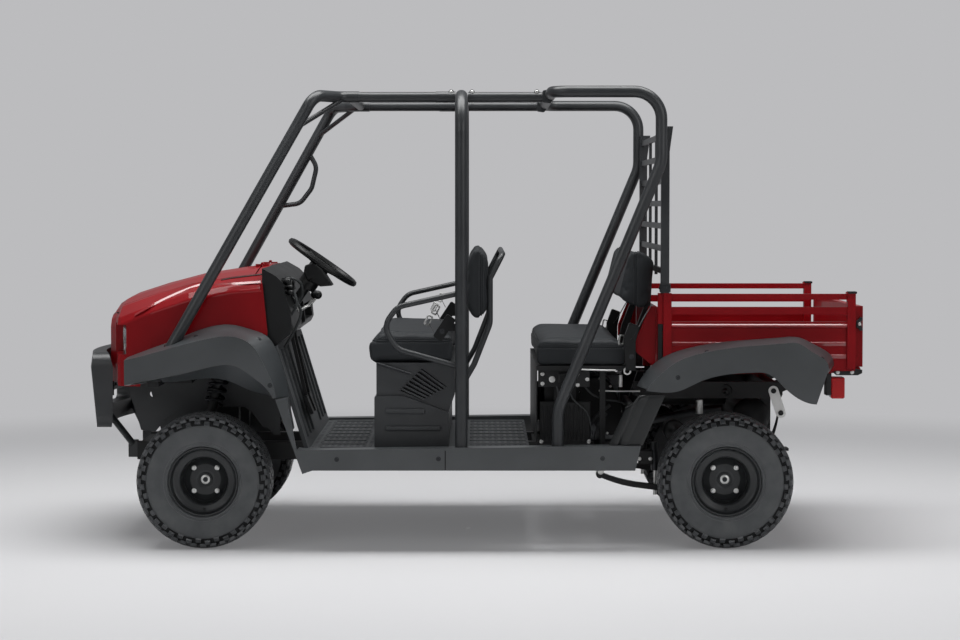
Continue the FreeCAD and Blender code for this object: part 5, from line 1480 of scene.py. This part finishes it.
def makeStudio():
    # a round floor that turns up into a wall on every side
    radius, bend, around = studio["radius"], studio["bend"], studio["around"]
    profile = [(0.01, 0.0), (studio["fade"][0], 0.0), (radius - bend, 0.0)]
    for i in range(1, studio["bendSteps"] + 1):
        angle = math.pi / 2 * i / studio["bendSteps"]
        profile.append((radius - bend + bend * math.sin(angle), bend * (1 - math.cos(angle))))
    profile.append((radius, studio["height"]))
    points = [(r * math.cos(math.tau * k / around), r * math.sin(math.tau * k / around), z)
              for r, z in profile for k in range(around)]
    mesh = bpy.data.meshes.new("studioSweep")
    mesh.from_pydata(points, [], bandFaces(len(profile), around))
    sweep = linked("studioSweep", mesh)
    smoothFaces(sweep)
    # the wall shows its own tone to the camera and to reflections; the floor is lit, so it keeps the shadow
    paper, tree, shader = newMaterial("backdropPaper", {"Roughness": 0.9})
    point = objectPoint(tree)
    cloud = addNode(tree, "ShaderNodeTexNoise", inputs={"Vector": point, "Scale": 0.4})
    tint = ramp(tree, (cloud, "Fac"), (0.2, studio["floorColour"]), (0.8, studio["floorDrift"]))
    link(tree, shader, {"Base Color": tint})
    flat = addNode(tree, "ShaderNodeVectorMath", {"operation": "MULTIPLY"}, {0: point, 1: (1.0, 1.0, 0.0)})
    away = addNode(tree, "ShaderNodeVectorMath", {"operation": "LENGTH"}, {0: (flat, 0)})
    share = addNode(tree, "ShaderNodeMapRange", {"interpolation_type": "SMOOTHSTEP"},
                    {"Value": (away, "Value"), "From Min": studio["fade"][0], "From Max": studio["fade"][1],
                     "To Min": studio["floorGlow"], "To Max": 1.0})
    rays = addNode(tree, "ShaderNodeLightPath")
    glossy = mathNode(tree, "MULTIPLY", (rays, "Is Glossy Ray"), studio["mirrored"])
    seen = mathNode(tree, "MAXIMUM", (rays, "Is Camera Ray"), glossy)
    through = mathNode(tree, "MAXIMUM", seen, (rays, "Is Transmission Ray"))
    glow = addNode(tree, "ShaderNodeEmission", inputs={"Color": toLinear(studio["wallColour"])})
    factor = mathNode(tree, "MULTIPLY", through, (share, 0))
    both = addNode(tree, "ShaderNodeMixShader", inputs={"Fac": factor, 1: (shader, 0), 2: (glow, 0)})
    tree.links.new(both.outputs[0], tree.nodes["Material Output"].inputs["Surface"])
    mesh.materials.append(paper)


def addLamp(name, size, power, position, target):
    data = bpy.data.lights.new(name, "AREA")
    data.shape = "RECTANGLE"
    data.size, data.size_y = size
    data.energy = power
    lamp = linked(name, data)
    lamp.location = position
    lamp.rotation_euler = (Vector(target) - Vector(position)).to_track_quat("-Z", "Y").to_euler()


makeStudio()
for lampName, lampFigures in studio["lamps"].items():
    addLamp(lampName, *lampFigures)
world = bpy.data.worlds.new("studioAir")
world.use_nodes = True
background = world.node_tree.nodes["Background"]
background.inputs["Color"].default_value = studio["air"]
background.inputs["Strength"].default_value = studio["airStrength"]
scene.world = world
scene.view_settings.view_transform = "Standard"

# the photograph's viewpoint: long lens, level with the seats, looking slightly down
cameraFacts = {"place": (1144.7, -10690.0, 1423.0), "down": 2.703, "lens": 91.35, "sensor": 36.0,
               "reach": 120.0}
cameraData = bpy.data.cameras.new("photoCamera")
cameraData.lens = cameraFacts["lens"]
cameraData.sensor_width = cameraFacts["sensor"]
cameraData.clip_end = cameraFacts["reach"]
camera = linked("photoCamera", cameraData)
camera.location = place(*cameraFacts["place"])
camera.rotation_euler = (math.radians(90 - cameraFacts["down"]), 0, 0)
scene.camera = camera
print("studio ready")
